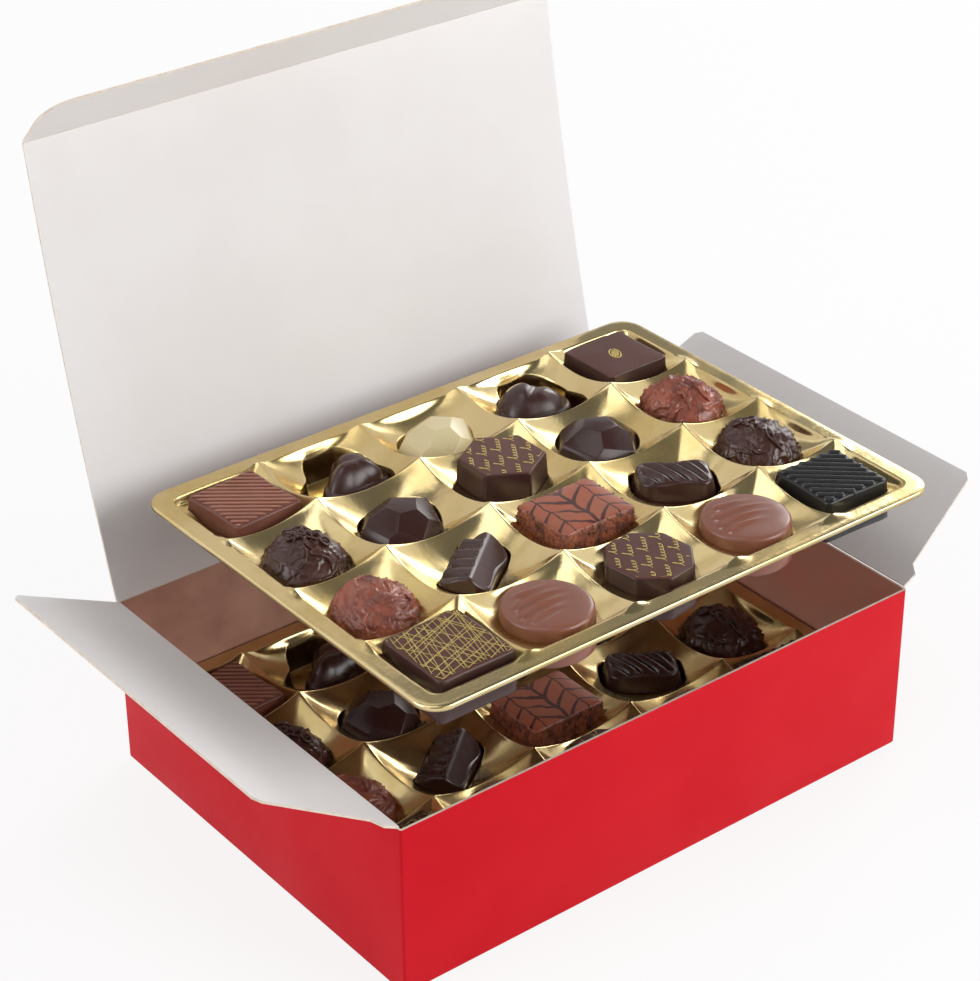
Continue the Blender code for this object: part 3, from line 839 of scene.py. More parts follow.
def diagonal_relief(x, y, rho):
    """Rounded grooves slanting across a bar with a crowned top."""
    s = (x * math.cos(0.62) + y * math.sin(0.62)) / 0.0040
    wave = np.abs(np.sin(math.pi * s)) ** 0.7
    return 0.0022 * (wave - 1.0) * (1 - rho ** 8) - 0.0016 * rho ** 4


def roof_relief(x, y, rho):
    """A gabled bar: a ribbed slope behind the ridge line and a smooth face before it."""
    ridge = -0.0014 + 0.06 * x
    back, front = np.maximum(y - ridge, 0), np.maximum(ridge - y, 0)
    fall = -0.30 * back - 20.0 * back * back - 0.95 * front
    ribs = np.abs(np.sin(math.pi * (x - 0.45 * y) / 0.0054)) ** 0.7 - 1.0
    ribs = ribs * 0.0024 * smoothstep(y - ridge, 0.0000, 0.0018)
    return fall + ribs - 0.0010 * np.exp(-((y - ridge) / 0.0006) ** 2) * 0.4


def gentle_relief(x, y, rho):
    return 0.00012 * np.sin(x * 420) * np.cos(y * 380) - 0.0002 * rho ** 6


def rough_side(seed, depth):
    def side(around, drop):
        spots = [noise.noise(Vector((math.cos(a) * 9, math.sin(a) * 9, drop * 600 + seed)))
                 for a in around]
        return depth * np.array(spots)
    return side


# ---------------------------------------------------------------- drawn marks
def crossing_lines(outline, height):
    """Fine lines drawn over and over in three directions."""
    rng = random.Random(11)
    lines = []
    for heading, spread, count in ((20, 4, 14), (76, 6, 24), (-62, 4, 9)):
        for k in range(count):
            angle = math.radians(heading + rng.uniform(-spread, spread))
            along = Vector((math.cos(angle), math.sin(angle)))
            offset = 0.018 * (2 * (k + rng.uniform(0.0, 1.0)) / count - 1)
            across = Vector((-along.y, along.x)) * offset
            line = [tuple(across + along * (-0.022 + 0.0004 * n)) for n in range(110)]
            inside = clipped(line, outline, 0.0001)
            if inside:
                lines.append([(x, y, height) for x, y in inside])
    return lines


def looped_marks(outline, height, heading, pitch):
    """Rows of a plain flourish: one tall loop, then small ones."""
    rng = random.Random(5)
    angle = math.radians(heading)
    along = Vector((math.cos(angle), math.sin(angle)))
    across = Vector((-along.y, along.x))
    lines = []
    for row in range(-4, 5):
        start = -0.022 + rng.uniform(0, 0.008)
        while start < 0.020:
            loops = rng.choice((3, 4, 5))
            line = []
            for n in range(15 * loops + 22):
                turn = n / 22 if n <= 22 else (n - 22) / 15
                tall = 0.0034 if n <= 22 else 0.00120
                s = start + 0.00165 * n / 15 + 0.00060 * math.sin(turn * TAU)
                d = row * pitch + tall * (0.5 - 0.5 * math.cos(turn * TAU))
                p = along * (s + 0.35 * (d - row * pitch)) + across * d
                line.append((p.x, p.y))
            inside = clipped(line, outline, 0.0003)
            if inside:
                lines.append([(x, y, height) for x, y in inside])
            start += 0.00165 * loops + 0.0042
    return lines


def plain_oval_mark(height, material):
    """A small oval of gold strokes."""
    lines = []
    for k in range(-2, 3):
        reach = 0.0026 * math.sqrt(1 - (k / 2.6) ** 2)
        lines.append([(reach * (n / 7 - 1), k * 0.00052 + 0.0002 * math.sin(n * 0.45), height)
                      for n in range(15)])
    ring = [(0.0032 * math.cos(TAU * n / 30), 0.0019 * math.sin(TAU * n / 30), height)
            for n in range(31)]
    mark = beads(lines + [ring], 0.00022, material, 6, 30.0)
    mark.transform(Matrix.Rotation(1.2, 4, "Z"))
    return mark


# ---------------------------------------------------------------- the twenty designs
def turned(mesh, degrees):
    mesh.transform(Matrix.Rotation(math.radians(degrees), 4, "Z"))
    return mesh


def line_square(m):
    outline = block(0.0268, 0.0278)
    body = moulded(outline, PRALINE_H, [m["milk_base"]], gentle_relief, draft=0.0010, edge=0.0007,
                   grid=30)
    lines = ruled(top_reach(outline, 0.0010, 0.0004), math.radians(-42), 0.0022, 0.0001,
                  PRALINE_H)
    return turned(joined([body, beads(lines, 0.00046, m["milk_line"], 8, 20.0)]), 4), outline, 4


def ribbed_square(m):
    outline = block(0.0272, 0.0266)
    body = moulded(outline, PRALINE_H - 0.0004, [m["black"]], gentle_relief, draft=0.0010,
                   edge=0.0007, grid=30)
    lines = ruled(top_reach(outline, 0.0010, 0.0002), math.radians(-40), 0.0027, 0.0001,
                  PRALINE_H - 0.0008)
    return turned(joined([body, beads(lines, 0.00110, m["black_rib"], 12, 30.0)]), -2), outline, -2


def cross_line_square(m):
    outline = block(0.0288, 0.0296)
    body = moulded(outline, PRALINE_H, [m["dark_top"], m["dark_side"]], pillow(0.0002),
                   draft=0.0008, edge=0.0006, grid=30)
    lines = crossing_lines(top_reach(outline, 0.0008, 0.0006), PRALINE_H)
    return joined([body, beads(lines, 0.00010, m["paint"], 5, 30.0)]), outline, 0


def emblem_square(m):
    outline = block(0.0268, 0.0262)
    body = moulded(outline, PRALINE_H, [m["dark_top"], m["dark_side"]], pillow(0.0002),
                   draft=0.0009, edge=0.0005, grid=30)
    return turned(joined([body, plain_oval_mark(PRALINE_H, m["paint"])]), 1), outline, 1


def octagon(m):
    outline = block(0.0280, 0.0290, 0.0082, 44)
    body = moulded(outline, PRALINE_H, [m["dark_top"], m["dark_side"]], pillow(0.0001, 5),
                   draft=0.0010, edge=0.0006, grid=34)
    lines = looped_marks(top_reach(outline, 0.0010, 0.0006), PRALINE_H, 50, 0.0048)
    return turned(joined([body, beads(lines, 0.00012, m["paint"], 5, 30.0)]), 8), outline, 8


def hexagon_tall(m):
    outline = flats([(60 * k, 0.01375) for k in range(6)], 44)
    body = moulded(outline, TALL_H, [m["dark_top"], m["dark_side"]], pillow(0.0001, 5),
                   draft=0.0013, edge=0.0006, grid=34)
    lines = looped_marks(top_reach(outline, 0.0013, 0.0006), TALL_H, 58, 0.0048)
    return joined([body, beads(lines, 0.00012, m["paint"], 5, 30.0)]), outline, 0


def marbled_square(m):
    outline = block(0.0298, 0.0246)
    height = 0.0162
    body = moulded(outline, height, [m["feather"], m["crumb"]], pillow(0.0006, 4), draft=0.0006,
                   edge=0.0012, grid=48, side_relief=rough_side(3, 0.0006), side_rings=12)
    sides = bmesh.new()
    sides.from_mesh(body)
    gone = [f for f in sides.faces if f.material_index == 0 or abs(f.normal.z) > 0.8]
    bmesh.ops.delete(sides, geom=gone, context="FACES")
    ground = bpy.data.meshes.new("sides")
    sides.to_mesh(ground)
    sides.free()
    loose = grown(ground, CRUMBS, {"Crumbs per Area": 700000.0, "Crumb Size": 0.00055,
                                   "Seed": 4, "Material": m["crumb"]})
    return joined([body, loose]), outline, 0


def ridged_disc(m, heading):
    outline = oval(0.0300, 0.0300)
    body = moulded(outline, DISC_H, [m["milk_shell"]], finger_relief, draft=0.0007,
                   edge=0.0014, grid=72)
    return turned(body, heading), outline, heading


def ridged_bar(m):
    outline = block(0.0298, 0.0200, 0.0034, 20)
    body = moulded(outline, PRALINE_H, [m["gloss"]], diagonal_relief, draft=0.0030, edge=0.0012,
                   grid=80)
    return turned(body, -32), outline, -32


def leaf_bar(m):
    outline = block(0.0310, 0.0185, 0.0036, 20)
    body = moulded(outline, PRALINE_H, [m["gloss"]], roof_relief, draft=0.0014, edge=0.0012,
                   grid=76)
    return turned(body, 36), outline, 36


HEART = ((0, 11.5), (45, 14.5), (75, 14.0), (110, 9.5), (150, 8.5), (185, 12.5), (205, 14.5),
         (240, 11.5), (290, 10.5), (325, 13.0))
BEAN = ((0, 14.0), (30, 12.5), (55, 9.0), (90, 12.0), (125, 13.5), (160, 13.5), (200, 13.0),
        (250, 11.0), (300, 12.5), (335, 14.5))
SOFT_POCKET = ((0, 14.5), (70, 17.5), (100, 16.0), (135, 11.0), (165, 12.5), (195, 17.2),
               (215, 15.5), (255, 15.0), (300, 17.0), (318, 18.5), (340, 16.0))


LOBED_H = 0.0150
LOBED_SCALE = 1.07          # the drawn outlines are a little smaller than the praline


def lobed(m, points, relief):
    """A plump praline with two lobes, in a soft pocket that isn't turned."""
    body = moulded(lambda a: through(points)(a) * LOBED_SCALE, LOBED_H, [m["gloss"]], relief,
                   draft=0.0016, edge=0.0016, grid=72)
    return body, through(SOFT_POCKET), None


def gem(material, length, width, tip, turn, rings):
    mesh = cut_gem(length, width, GEM_H, rings, tip, material, math.radians(turn))
    return mesh, oval(length, width, tip), turn


GEM_RINGS = ((5, 0.62, 0.3), (7, 1.08, 0.1), (9, 1.52, 0.0))
ROUND_RINGS = ((5, 0.66, 0.9), (6, 1.10, 0.2), (8, 1.52, 0.5))


TRUFFLE_L = 0.0262
TRUFFLES = {                # strands, width, skin, material, radius of a strand
    "spiky": ((3, 16, (0.05, 0.55), 1.0, 0.45, 0.06, 14, 0.5), 0.0280, spiky_skin, "dark",
              0.00042),
    "shaggy": ((8, 12, (0.2, 1.0), 0.9, 0.5, 0.05, 12, 0.2), 0.0280, shaggy_skin, "dark",
               0.00040),
    "swirl": ((5, 4, (0.1, 0.9), 0.9, 0.30, 0.02, 18, 0.25), 0.0284, swirl_skin, "milk",
              0.00055),
    "folded": ((6, 3, (0.1, 1.1), 0.9, 0.3, 0.02, 18, 0.2), 0.0272, folded_skin, "milk",
               0.00060),
}


def rough_truffle(m, kind):
    walk, width, skin, material, radius = TRUFFLES[kind]
    mesh = truffle(TRUFFLE_L, width, TRUFFLE_H, skin, m[material], wandering(*walk), radius)
    return mesh, oval(TRUFFLE_L, width), 0


def assortment(m):
    """(column, row) -> name, (mesh, pocket outline, its turn), shift in its cell, colour."""
    return {
        (0, 0): ("line_square", line_square(m), (0.0006, -0.0005), "milk"),
        (0, 1): ("dark_truffle_spiky", rough_truffle(m, "spiky"), (-0.001, -0.001), "dark"),
        (0, 2): ("milk_truffle_swirl", rough_truffle(m, "swirl"), (-0.001, -0.001), "milk"),
        (0, 3): ("cross_line_square", cross_line_square(m), (0.0004, -0.0004), "dark"),
        (1, 0): ("heart", lobed(m, HEART, heart_relief), (0, 0), "dark"),
        (1, 1): ("facet_oval_dark", gem(m["gem"], 0.0312, 0.0270, 0.16, 30, GEM_RINGS),
                 (-0.001, -0.001), "dark"),
        (1, 2): ("leaf_bar", leaf_bar(m), (-0.0005, -0.0005), "dark"),
        (1, 3): ("ridged_disc_left", ridged_disc(m, 0), (0.0003, 0), "milk"),
        (2, 0): ("facet_oval_ivory", gem(m["ivory"], 0.0305, 0.0252, 0.16, 24, GEM_RINGS),
                 (-0.001, -0.001), "white"),
        (2, 1): ("hexagon_tall", hexagon_tall(m), (-0.0004, 0.0004), "dark"),
        (2, 2): ("marbled_square", marbled_square(m), (0, 0), "milk"),
        (2, 3): ("octagon", octagon(m), (0, 0), "dark"),
        (3, 0): ("bean", lobed(m, BEAN, bean_relief), (0, 0), "dark"),
        (3, 1): ("facet_round_dark", gem(m["gem"], 0.0298, 0.0280, 0.0, 10, ROUND_RINGS),
                 (-0.001, 0), "dark"),
        (3, 2): ("ridged_bar", ridged_bar(m), (0.0005, 0), "dark"),
        (3, 3): ("ridged_disc_right", ridged_disc(m, -6), (-0.0004, 0.0002), "milk"),
        (4, 0): ("emblem_square", emblem_square(m), (-0.0006, 0.0006), "dark"),
        (4, 1): ("milk_truffle_folded", rough_truffle(m, "folded"), (-0.0006, 0), "milk"),
        (4, 2): ("dark_truffle_shaggy", rough_truffle(m, "shaggy"), (-0.0006, 0), "dark"),
        (4, 3): ("ribbed_square", ribbed_square(m), (-0.0004, 0.0004), "black"),
    }


def place_pralines(table):
    for name, (mesh, _, _), _, kind in table.values():
        points = np.array([tuple(v.co) for v in mesh.vertices])
        low, high = points.min(0), points.max(0)
        for layer in ("lower", "upper"):
            node = f"{layer}_{name}"
            base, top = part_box(node)
            at = Vector(((base.x + top.x - low[0] - high[0]) / 2,
                         (base.y + top.y - low[1] - high[1]) / 2, base.z - low[2]))
            copy = mesh.copy()
            copy.transform(Matrix.Translation(at))
            finished(node + "_detail", copy, "carton", node)


# ---------------------------------------------------------------- trays
def edges_from(sizes, sign):
    """Cell borders from a list of cell sizes, centred on zero."""
    at = -sign * sum(sizes) / 2
    borders = [at]
    for size in sizes:
        at += sign * size
        borders.append(at)
    return borders


COLUMN_X = edges_from(COLUMNS, 1)
ROW_Y = edges_from(ROWS, -1)
SIDE_POINTS = 24            # along each side of a cell
WELL_CORNER = 0.004         # rounding of the inner corners of the rim
RIDGE_ROUND = 0.00025       # how far a ridge's crest is rounded down
RIDGE_FADE = 0.0006         # how fast that rounding fades beside the crest
POCKET_TIGHT = 0.0003       # how far a pocket's edge stands inside its praline's outline
FOIL = 0.0003
HALF_X, HALF_Y = COLUMN_X[-1], ROW_Y[0]


def ridge_height(i, j):
    """Height of a bowl's border at half-cell steps i along X and j along Y."""
    last_i, last_j = 2 * len(COLUMNS), 2 * len(ROWS)
    on_wall = i in (0, last_i) or j in (0, last_j)
    middle = i % 2 == 1 or j % 2 == 1
    if on_wall:
        corner = i in (0, last_i) and j in (0, last_j)
        return -WALL_SAG if middle or corner else WALL_PEAK
    return -SAG if middle else PEAK


def side_of_cell(start, end):
    """Points (x, y, bowl height) from one grid corner to the next, the last left out."""
    (i0, j0), (i1, j1) = start, end
    a, b = ridge_height(2 * i0, 2 * j0), ridge_height(2 * i1, 2 * j1)
    mid = ridge_height(i0 + i1, j0 + j1)
    points = []
    for k in range(SIDE_POINTS):
        t = k / SIDE_POINTS
        x = COLUMN_X[i0] + (COLUMN_X[i1] - COLUMN_X[i0]) * t
        y = ROW_Y[j0] + (ROW_Y[j1] - ROW_Y[j0]) * t
        z = a * (1 - t) * (1 - 2 * t) + mid * 4 * t * (1 - t) + b * t * (2 * t - 1)
        points.append((x, y, z))
    return points


def rounded_in(x, y, half_x, half_y, radius):
    """Moves a point on a rectangle's outline onto the arc at its corner."""
    dx, dy = abs(x) - (half_x - radius), abs(y) - (half_y - radius)
    if dx <= 0 or dy <= 0:
        return x, y
    scale = radius / math.hypot(dx, dy)
    return (math.copysign(half_x - radius + dx * scale, x),
            math.copysign(half_y - radius + dy * scale, y))


def bowl_point(x, y, ridge, bowl_z, column, row):
    """A bowl's surface, with soft ridges and a smooth turn up to the rim at the walls."""
    left, right = COLUMN_X[column], COLUMN_X[column + 1]
    back, front = ROW_Y[row], ROW_Y[row + 1]
    inner, wall = [], []
    (wall if column == 0 else inner).append(x - left)
    (wall if column == len(COLUMNS) - 1 else inner).append(right - x)
    (wall if row == 0 else inner).append(back - y)
    (wall if row == len(ROWS) - 1 else inner).append(y - front)
    z = bowl_z - RIDGE_ROUND * math.exp(-max(min(inner), 0) / RIDGE_FADE)
    if wall:
        dx, dy = abs(x) - (HALF_X - WELL_CORNER), abs(y) - (HALF_Y - WELL_CORNER)
        near = max(min(wall), 0)
        if dx > 0 and dy > 0:
            near = max(WELL_CORNER - math.hypot(dx, dy), 0)
        z += (max(0.0, ridge) - ridge) * math.exp(-(near / 0.0010) ** 2)
    return z


BOWL_SHARES = (0.0, 0.035, 0.08, 0.14, 0.22, 0.32, 0.43, 0.55, 0.67, 0.79, 0.89, 0.96, 1.0)
WALL_RINGS = ((0.00018, 0.00012), (0.00035, 0.00045), (0.00045, 0.0010), (0.00055, 0.0022),
              (0.00065, 0.0045))


def cell_mesh(bm, column, row, pocket, centre):
    corners = ((column, row + 1), (column + 1, row + 1), (column + 1, row), (column, row))
    border = []
    for k, corner in enumerate(corners):
        border += side_of_cell(corner, corners[(k + 1) % 4])
    rings = [[] for _ in range(len(BOWL_SHARES) + len(WALL_RINGS) + 2)]
    for x, y, ridge in border:
        x, y = rounded_in(x, y, HALF_X, HALF_Y, WELL_CORNER)
        dx, dy = x - centre[0], y - centre[1]
        far, heading = math.hypot(dx, dy), math.atan2(dy, dx)
        near = min(float(pocket(heading)), far - 0.0010)
        edge_z = min(max(-0.0073 + 16.8 * near * near, -0.0056), -0.0024)
        c, s = math.cos(heading), math.sin(heading)
        n = 0
        for share in BOWL_SHARES:
            r = far + (near - far) * share
            rise = (r * r - near * near) / (far * far - near * near)
            px, py = centre[0] + r * c, centre[1] + r * s
            z = bowl_point(px, py, ridge, edge_z + (ridge - edge_z) * rise, column, row)
            rings[n].append(bm.verts.new((px, py, z)))
            n += 1
        for back, drop in WALL_RINGS:
            r = near - back
            z = max(edge_z - drop, -POCKET_DEPTH + 0.0009)
            rings[n].append(bm.verts.new((centre[0] + r * c, centre[1] + r * s, z)))
            n += 1
        for back, z in ((0.0009, -POCKET_DEPTH + 0.0004), (0.0016, -POCKET_DEPTH)):
            r = near - back
            rings[n].append(bm.verts.new((centre[0] + r * c, centre[1] + r * s, z)))
            n += 1
    for outer, inner in zip(rings, rings[1:]):
        for k in range(len(outer)):
            j = (k + 1) % len(outer)
            bm.faces.new((outer[k], outer[j], inner[j], inner[k]))
    bm.faces.new(rings[-1])


RIM_RINGS = ((0.16, 0.35, 0.0), (0.34, 0.06, 0.0), (0.60, 0.0, 0.0), (0.90, 0.0, 0.0),
             (0.955, 0.0, -0.00008), (0.985, 0.0, -0.00028), (1.0, 0.0, -0.0006),
             (1.02, 0.0, -TRAY_LIP))


def rim_mesh(bm):
    """The flat rim round the bowls, with its rounded outer edge turned down."""
    walk = [((i, len(ROWS)), (i + 1, len(ROWS))) for i in range(len(COLUMNS))]
    walk += [((len(COLUMNS), j), (len(COLUMNS), j - 1)) for j in range(len(ROWS), 0, -1)]
    walk += [((i, 0), (i - 1, 0)) for i in range(len(COLUMNS), 0, -1)]
    walk += [((0, j), (0, j + 1)) for j in range(len(ROWS))]
    rings = [[] for _ in range(len(RIM_RINGS) + 1)]
    out_x, out_y = HALF_X + TRAY_RIM, HALF_Y + TRAY_RIM
    for start, end in walk:
        for x, y, ridge in side_of_cell(start, end):
            inner = rounded_in(x, y, HALF_X, HALF_Y, WELL_CORNER)
            outer = rounded_in(x * out_x / HALF_X, y * out_y / HALF_Y, out_x, out_y, TRAY_CORNER)
            z = inner_rim_height(inner[0], inner[1], ridge)
            rings[0].append(bm.verts.new((*inner, z)))
            for n, (share, lifted, drop) in enumerate(RIM_RINGS):
                px = inner[0] + (outer[0] - inner[0]) * share
                py = inner[1] + (outer[1] - inner[1]) * share
                rings[n + 1].append(bm.verts.new((px, py, z * lifted + drop)))
    for near, far in zip(rings, rings[1:]):
        for k in range(len(near)):
            j = (k + 1) % len(near)
            bm.faces.new((near[j], near[k], far[k], far[j]))


def inner_rim_height(x, y, ridge):
    """The same height that the bowls reach at the rim's inner edge."""
    near = min(abs(abs(x) - abs(at)) for at in COLUMN_X[1:-1])
    if abs(abs(x) - HALF_X) < 1e-7:
        near = min(abs(y - at) for at in ROW_Y[1:-1])
    elif abs(abs(y) - HALF_Y) > 1e-7:
        near = 1.0
    return max(0.0, ridge) - RIDGE_ROUND * math.exp(-near / RIDGE_FADE)


def tray_mesh(table, m):
    """One moulded foil tray about its own middle, with its rim at height zero."""
    bm = bmesh.new()
    for (column, row), (_, (_, outline, turn), shift, _) in table.items():
        centre = ((COLUMN_X[column] + COLUMN_X[column + 1]) / 2 + shift[0],
                  (ROW_Y[row] + ROW_Y[row + 1]) / 2 + shift[1])
        spin = math.radians(turn or 0)
        room = 0.0 if turn is None else -POCKET_TIGHT
        cell_mesh(bm, column, row,
                  lambda a, o=outline, s=spin, extra=room: o(a - s) + extra, centre)
    rim_mesh(bm)
    bmesh.ops.remove_doubles(bm, verts=bm.verts, dist=0.000004)
    made = thickened(bm, (m["foil"], m["film"]), FOIL)
    made.shade_smooth()
    return made


def place_trays(table, m):
    plain = tray_mesh(table, m)
    for layer in ("lower", "upper"):
        node = "tray_" + layer
        low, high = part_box(node)
        mesh = plain.copy()
        at = Vector(((low.x + high.x) / 2, (low.y + high.y) / 2, high.z - PEAK))
        mesh.transform(Matrix.Translation(at))
        finished(node + "_detail", mesh, "carton", node)


# ---------------------------------------------------------------- board
def sheet_grid(bm, columns, facing):
    """A grid of faces from columns of points; its normal follows the wanted side."""
    loops = [[bm.verts.new(p) for p in column] for column in columns]
    for a, b in zip(loops, loops[1:]):
        for k in range(len(a) - 1):
            bm.faces.new((a[k], a[k + 1], b[k + 1], b[k]))
    bm.normal_update()
    bm.faces.ensure_lookup_table()
    if bm.faces[0].normal.dot(facing) < 0:
        bmesh.ops.reverse_faces(bm, faces=bm.faces)


def board(bm, m, name, body, node, sides=("red", "white", "cut"), inside=()):
    """A finished panel: the side its normals face, the far side, the cut edge.

    inside gives the far side's materials, on walls across X and then elsewhere.
    """
    mesh = thickened(bm, [m[key] for key in (*sides, *inside)], BOARD, 2)
    # On the box, the far side takes painted light: the glow colour on walls across X, the red
    # bounce and shade colour on the other walls and the bottom.
    for face in mesh.polygons if inside else ():
        if face.material_index == 1:
            face.material_index = 3 if abs(face.normal.x) > 0.5 else 4
    mesh.shade_smooth()
    mesh.set_sharp_from_angle(angle=SHARP)
    finished(name, mesh, body, node)

def box_body(m):
    low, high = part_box("box_body")
    bm = bmesh.new()
    middle, size = (low + high) / 2, high - low
    bmesh.ops.create_cube(bm, size=1.0, matrix=Matrix.Translation(middle)
                          @ Matrix.Diagonal((size.x, size.y, size.z, 1)))
    bm.faces.ensure_lookup_table()
    top = [f for f in bm.faces if f.normal.z > 0.5]
    bmesh.ops.delete(bm, geom=top, context="FACES_ONLY")
    edges = [e for e in bm.edges if not e.is_boundary]
    bmesh.ops.bevel(bm, geom=edges, offset=0.0009, segments=3, profile=0.5,
                    affect="EDGES")
    # The inside of the box is drawn with painted glow and painted bounce light in place of its
    # plain white board.
    board(bm, m, "box_body_board", "carton", "box_body", inside=("inside_painted_glow", "inside_painted_red_bounce"))


def lid_profile(reach):
    """The point (y, z) of the lid's outer face, at a distance from its crease."""
    steps = 64
    y = z = 0.0
    for k in range(steps):
        share = (k + 0.5) / steps * reach / LID_REACH
        lean = LID_LEAN_ROOT + (LID_LEAN_TIP - LID_LEAN_ROOT) * share
        y += reach / steps * math.sin(lean)
        z += reach / steps * math.cos(lean)
    return y, z


def lid(m):
    low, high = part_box("lid")
    _, rim_of_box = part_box("box_body")
    root = Vector((0, rim_of_box.y, low.z))
    half = (high.x - low.x) / 2
    bm = bmesh.new()
    columns = []
    reaches = [0.0, 0.0006, 0.0012, 0.0018, 0.0026]
    reaches += [0.0026 + (LID_REACH - 0.0056) * k / 40 for k in range(1, 41)]
    reaches += [LID_REACH - 0.0022, LID_REACH - 0.0014, LID_REACH - 0.0007, LID_REACH]
    for reach in reaches:
        y, z = lid_profile(reach)
        columns.append([root + Vector((-half + 2 * half * k / 40, y, z)) for k in range(41)])
    sheet_grid(bm, columns, Vector((0, 1, 0)))
    board(bm, m, "lid_board", "lid", "lid")


def tuck_flap(m):
    low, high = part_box("tuck_flap")
    y, z = lid_profile(LID_REACH)
    _, rim_of_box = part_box("box_body")
    lid_low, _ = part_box("lid")
    root = Vector((0, rim_of_box.y + y - BOARD * math.cos(LID_LEAN_TIP),
                   lid_low.z + z + BOARD * math.sin(LID_LEAN_TIP)))
    half = (high.x - low.x) / 2
    r = TUCK_CORNER
    bm = bmesh.new()
    steps = [GAP + (TUCK_REACH - r - GAP) * k / 6 for k in range(7)]
    steps += [TUCK_REACH - r + r * math.sin(math.pi / 2 * k / 10) for k in range(1, 11)]
    rows = []
    tilt = Matrix.Rotation(TUCK_FOLD - LID_LEAN_TIP, 3, "X")
    for reach in steps:
        rise = max(reach - (TUCK_REACH - r), 0.0)
        width = half - r + math.sqrt(max(r * r - rise * rise, 0.0))
        rows.append([root + tilt @ Vector((-width + 2 * width * k / 24, 0, reach))
                     for k in range(25)])
    sheet_grid(bm, rows, tilt @ Vector((0, -1, 0)))
    board(bm, m, "tuck_flap_board", "tuck", "tuck_flap", ("white", "red", "cut"))


def side_flap(m, name, side):
    low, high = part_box("box_body")
    back = high.y - FLAP_RELIEF
    front = low.y + FLAP_RELIEF / 2
    slope = (FLAP_TAPER_FRONT - NOTCH_DEPTH) / (FLAP_REACH - NOTCH_END)
    root = Vector((side * high.x, 0, high.z + GAP))
    tilt = Matrix.Rotation(side * FLAP_SPREAD, 3, "Y")
    bm = bmesh.new()
    columns = []
    reaches = [0.0, 0.0008, 0.0016, 0.003, NOTCH_START, (NOTCH_START + NOTCH_END) / 2, NOTCH_END]
    reaches += [NOTCH_END + (FLAP_REACH - NOTCH_END) * k / 18 for k in range(1, 19)]
    for reach in reaches:
        if reach <= NOTCH_START:
            near = front
        elif reach <= NOTCH_END:
            near = front + NOTCH_DEPTH * (reach - NOTCH_START) / (NOTCH_END - NOTCH_START)
        else:
            near = front + NOTCH_DEPTH + slope * (reach - NOTCH_END)
        far = back - (FLAP_TAPER_BACK - FLAP_RELIEF) * reach / FLAP_REACH
        ease = max(reach - (FLAP_REACH - 0.002), 0) / 0.002
        ease = 0.002 * (1 - math.sqrt(max(1 - ease * ease, 0)))
        columns.append([root + tilt @ Vector((0, near + ease + (far - near - 2 * ease) * k / 24,
                                              reach)) for k in range(25)])
    sheet_grid(bm, columns, tilt @ Vector((side, 0, 0)))
    board(bm, m, name + "_board", "left_flap" if side < 0 else "right_flap", name)


# ---------------------------------------------------------------- studio
def floor():
    """A white table: it takes shadows, and shows almost white from the camera."""
    mesh = bpy.data.meshes.new("studio_floor")
    reach = 6.0
    mesh.from_pydata([(-reach, -reach, -0.0001), (reach, -reach, -0.0001),
                      (reach, reach, -0.0001), (-reach, reach, -0.0001)], [], [(0, 1, 2, 3)])
    mat = bpy.data.materials.new("studio_white")
    mat.use_nodes = True
    tree = mat.node_tree
    tree.nodes.clear()
    out = add(tree, "ShaderNodeOutputMaterial")
    matt = add(tree, "ShaderNodeBsdfDiffuse", {"Color": (0.92, 0.92, 0.92, 1)})
    glow = add(tree, "ShaderNodeEmission", {"Color": (1, 1, 1, 1), "Strength": 1.0})
    share = calc(tree, "MULTIPLY", seen_ray(tree), 0.86)
    mix = add(tree, "ShaderNodeMixShader", {0: share, 1: matt.outputs[0], 2: glow.outputs[0]})
    tree.links.new(mix.outputs[0], out.inputs["Surface"])
    mesh.materials.append(mat)
    ob = bpy.data.objects.new("studio_floor", mesh)
    bpy.context.scene.collection.objects.link(ob)


def seen_ray(tree):
    """1 for rays from the camera and for mirror and glass rays, 0 for the rest."""
    path = add(tree, "ShaderNodeLightPath").outputs
    first = calc(tree, "MAXIMUM", path["Is Camera Ray"], path["Is Glossy Ray"])
    return calc(tree, "MAXIMUM", first, path["Is Transmission Ray"])


def world():
    made = bpy.data.worlds.new("studio")
    bpy.context.scene.world = made
    made.use_nodes = True
    tree = made.node_tree
    tree.nodes.clear()
    out = add(tree, "ShaderNodeOutputWorld")
    seen, lit = (add(tree, "ShaderNodeBackground", {"Color": (1, 1, 1, 1), "Strength": power})
                 for power in (1.0, SKY))
    mix = add(tree, "ShaderNodeMixShader",
              {0: seen_ray(tree), 1: lit.outputs[0], 2: seen.outputs[0]})
    tree.links.new(mix.outputs[0], out.inputs["Surface"])


def aimed(ob, at, target):
    """Stands an object at a place with its -Z side towards a target."""
    ob.location = at
    ob.rotation_euler = (Vector(target) - Vector(at)).to_track_quat("-Z", "Y").to_euler()


def softbox(name, at, target, width, height, power):
    data = bpy.data.lights.new(name, "AREA")
    data.shape = "RECTANGLE"
    data.size, data.size_y = width, height
    data.energy = power
    data.color = (1, 1, 1)
    ob = bpy.data.objects.new(name, data)
    bpy.context.scene.collection.objects.link(ob)
    aimed(ob, at, target)


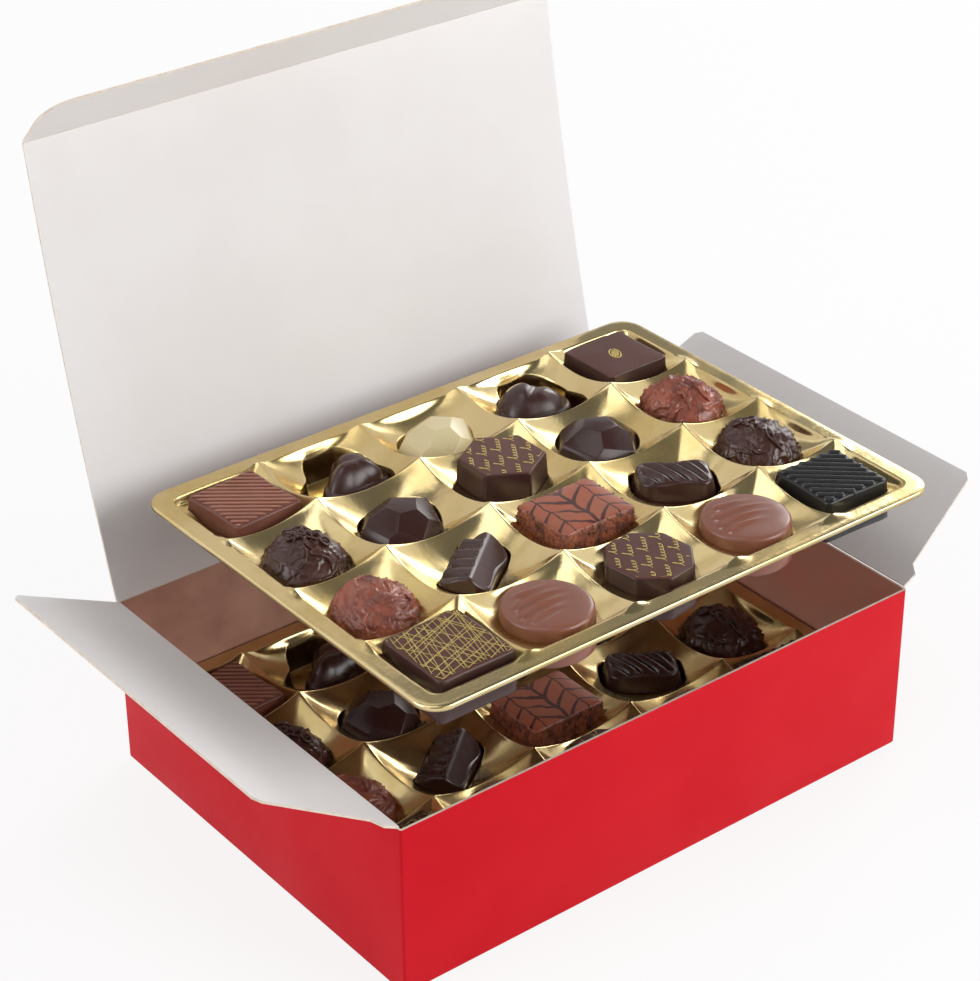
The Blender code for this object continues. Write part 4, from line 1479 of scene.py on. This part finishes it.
def card(name, at, target, width, height, value):
    """A grey studio card: seen in reflections only."""
    mesh = bpy.data.meshes.new(name)
    w, h = width / 2, height / 2
    mesh.from_pydata([(-w, -h, 0), (w, -h, 0), (w, h, 0), (-w, h, 0)], [], [(0, 1, 2, 3)])
    mat = bpy.data.materials.new(name)
    mat.use_nodes = True
    tree = mat.node_tree
    tree.nodes.clear()
    glow = add(tree, "ShaderNodeEmission", {"Color": (value, value, value, 1)})
    add(tree, "ShaderNodeOutputMaterial", {"Surface": glow.outputs[0]})
    mesh.materials.append(mat)
    ob = bpy.data.objects.new(name, mesh)
    bpy.context.scene.collection.objects.link(ob)
    aimed(ob, at, target)
    for ray in ("camera", "diffuse", "shadow", "transmission"):
        setattr(ob, "visible_" + ray, False)


def camera():
    azimuth, elevation, roll = (math.radians(a) for a in (-38.04, 30.573, -0.3746))
    back = Vector((math.sin(azimuth) * math.cos(elevation),
                   -math.cos(azimuth) * math.cos(elevation), math.sin(elevation)))
    right = Vector((0, 0, 1)).cross(back).normalized()
    up = back.cross(right)
    right, up = (right * math.cos(roll) + up * math.sin(roll),
                 up * math.cos(roll) - right * math.sin(roll))
    data = bpy.data.cameras.new("camera")
    data.sensor_width = 36.0
    data.lens = 101.5
    data.clip_start = 0.01
    data.clip_end = 50.0
    ob = bpy.data.objects.new("camera", data)
    bpy.context.scene.collection.objects.link(ob)
    place = Matrix((right, up, back)).transposed().to_4x4()
    place.translation = Vector((-0.4703, -0.5897, 0.5463))
    ob.matrix_world = place
    bpy.context.scene.camera = ob


def studio():
    bpy.context.scene.view_settings.view_transform = "Standard"
    world()
    floor()
    middle = (0, 0, 0.06)
    softbox("right_front_light", (1.15, -1.55, 0.75), middle, 1.5, 1.2, 31)
    softbox("left_back_light", (-1.70, 0.45, 0.65), middle, 1.1, 0.9, 13)
    softbox("right_back_light", (1.60, 0.75, 0.85), middle, 0.8, 0.7, 10)
    softbox("top_light", (-0.3, 0.2, 1.9), middle, 1.0, 1.0, 6)
    card("dark_card_above", (0.5, 0.0, 2.6), middle, 3.6, 3.6, 0.16)
    card("grey_card_back_right", (1.5, 1.9, 1.5), middle, 2.2, 1.2, 0.28)
    card("dark_card_front", (-1.4, -2.0, 1.2), middle, 2.4, 2.0, 0.16)


# ---------------------------------------------------------------- build
def build():
    m = build_materials()
    table = assortment(m)
    place_pralines(table)
    place_trays(table, m)
    box_body(m)
    lid(m)
    tuck_flap(m)
    side_flap(m, "flap_left", -1)
    side_flap(m, "flap_right", 1)
    studio()
    camera()


build()
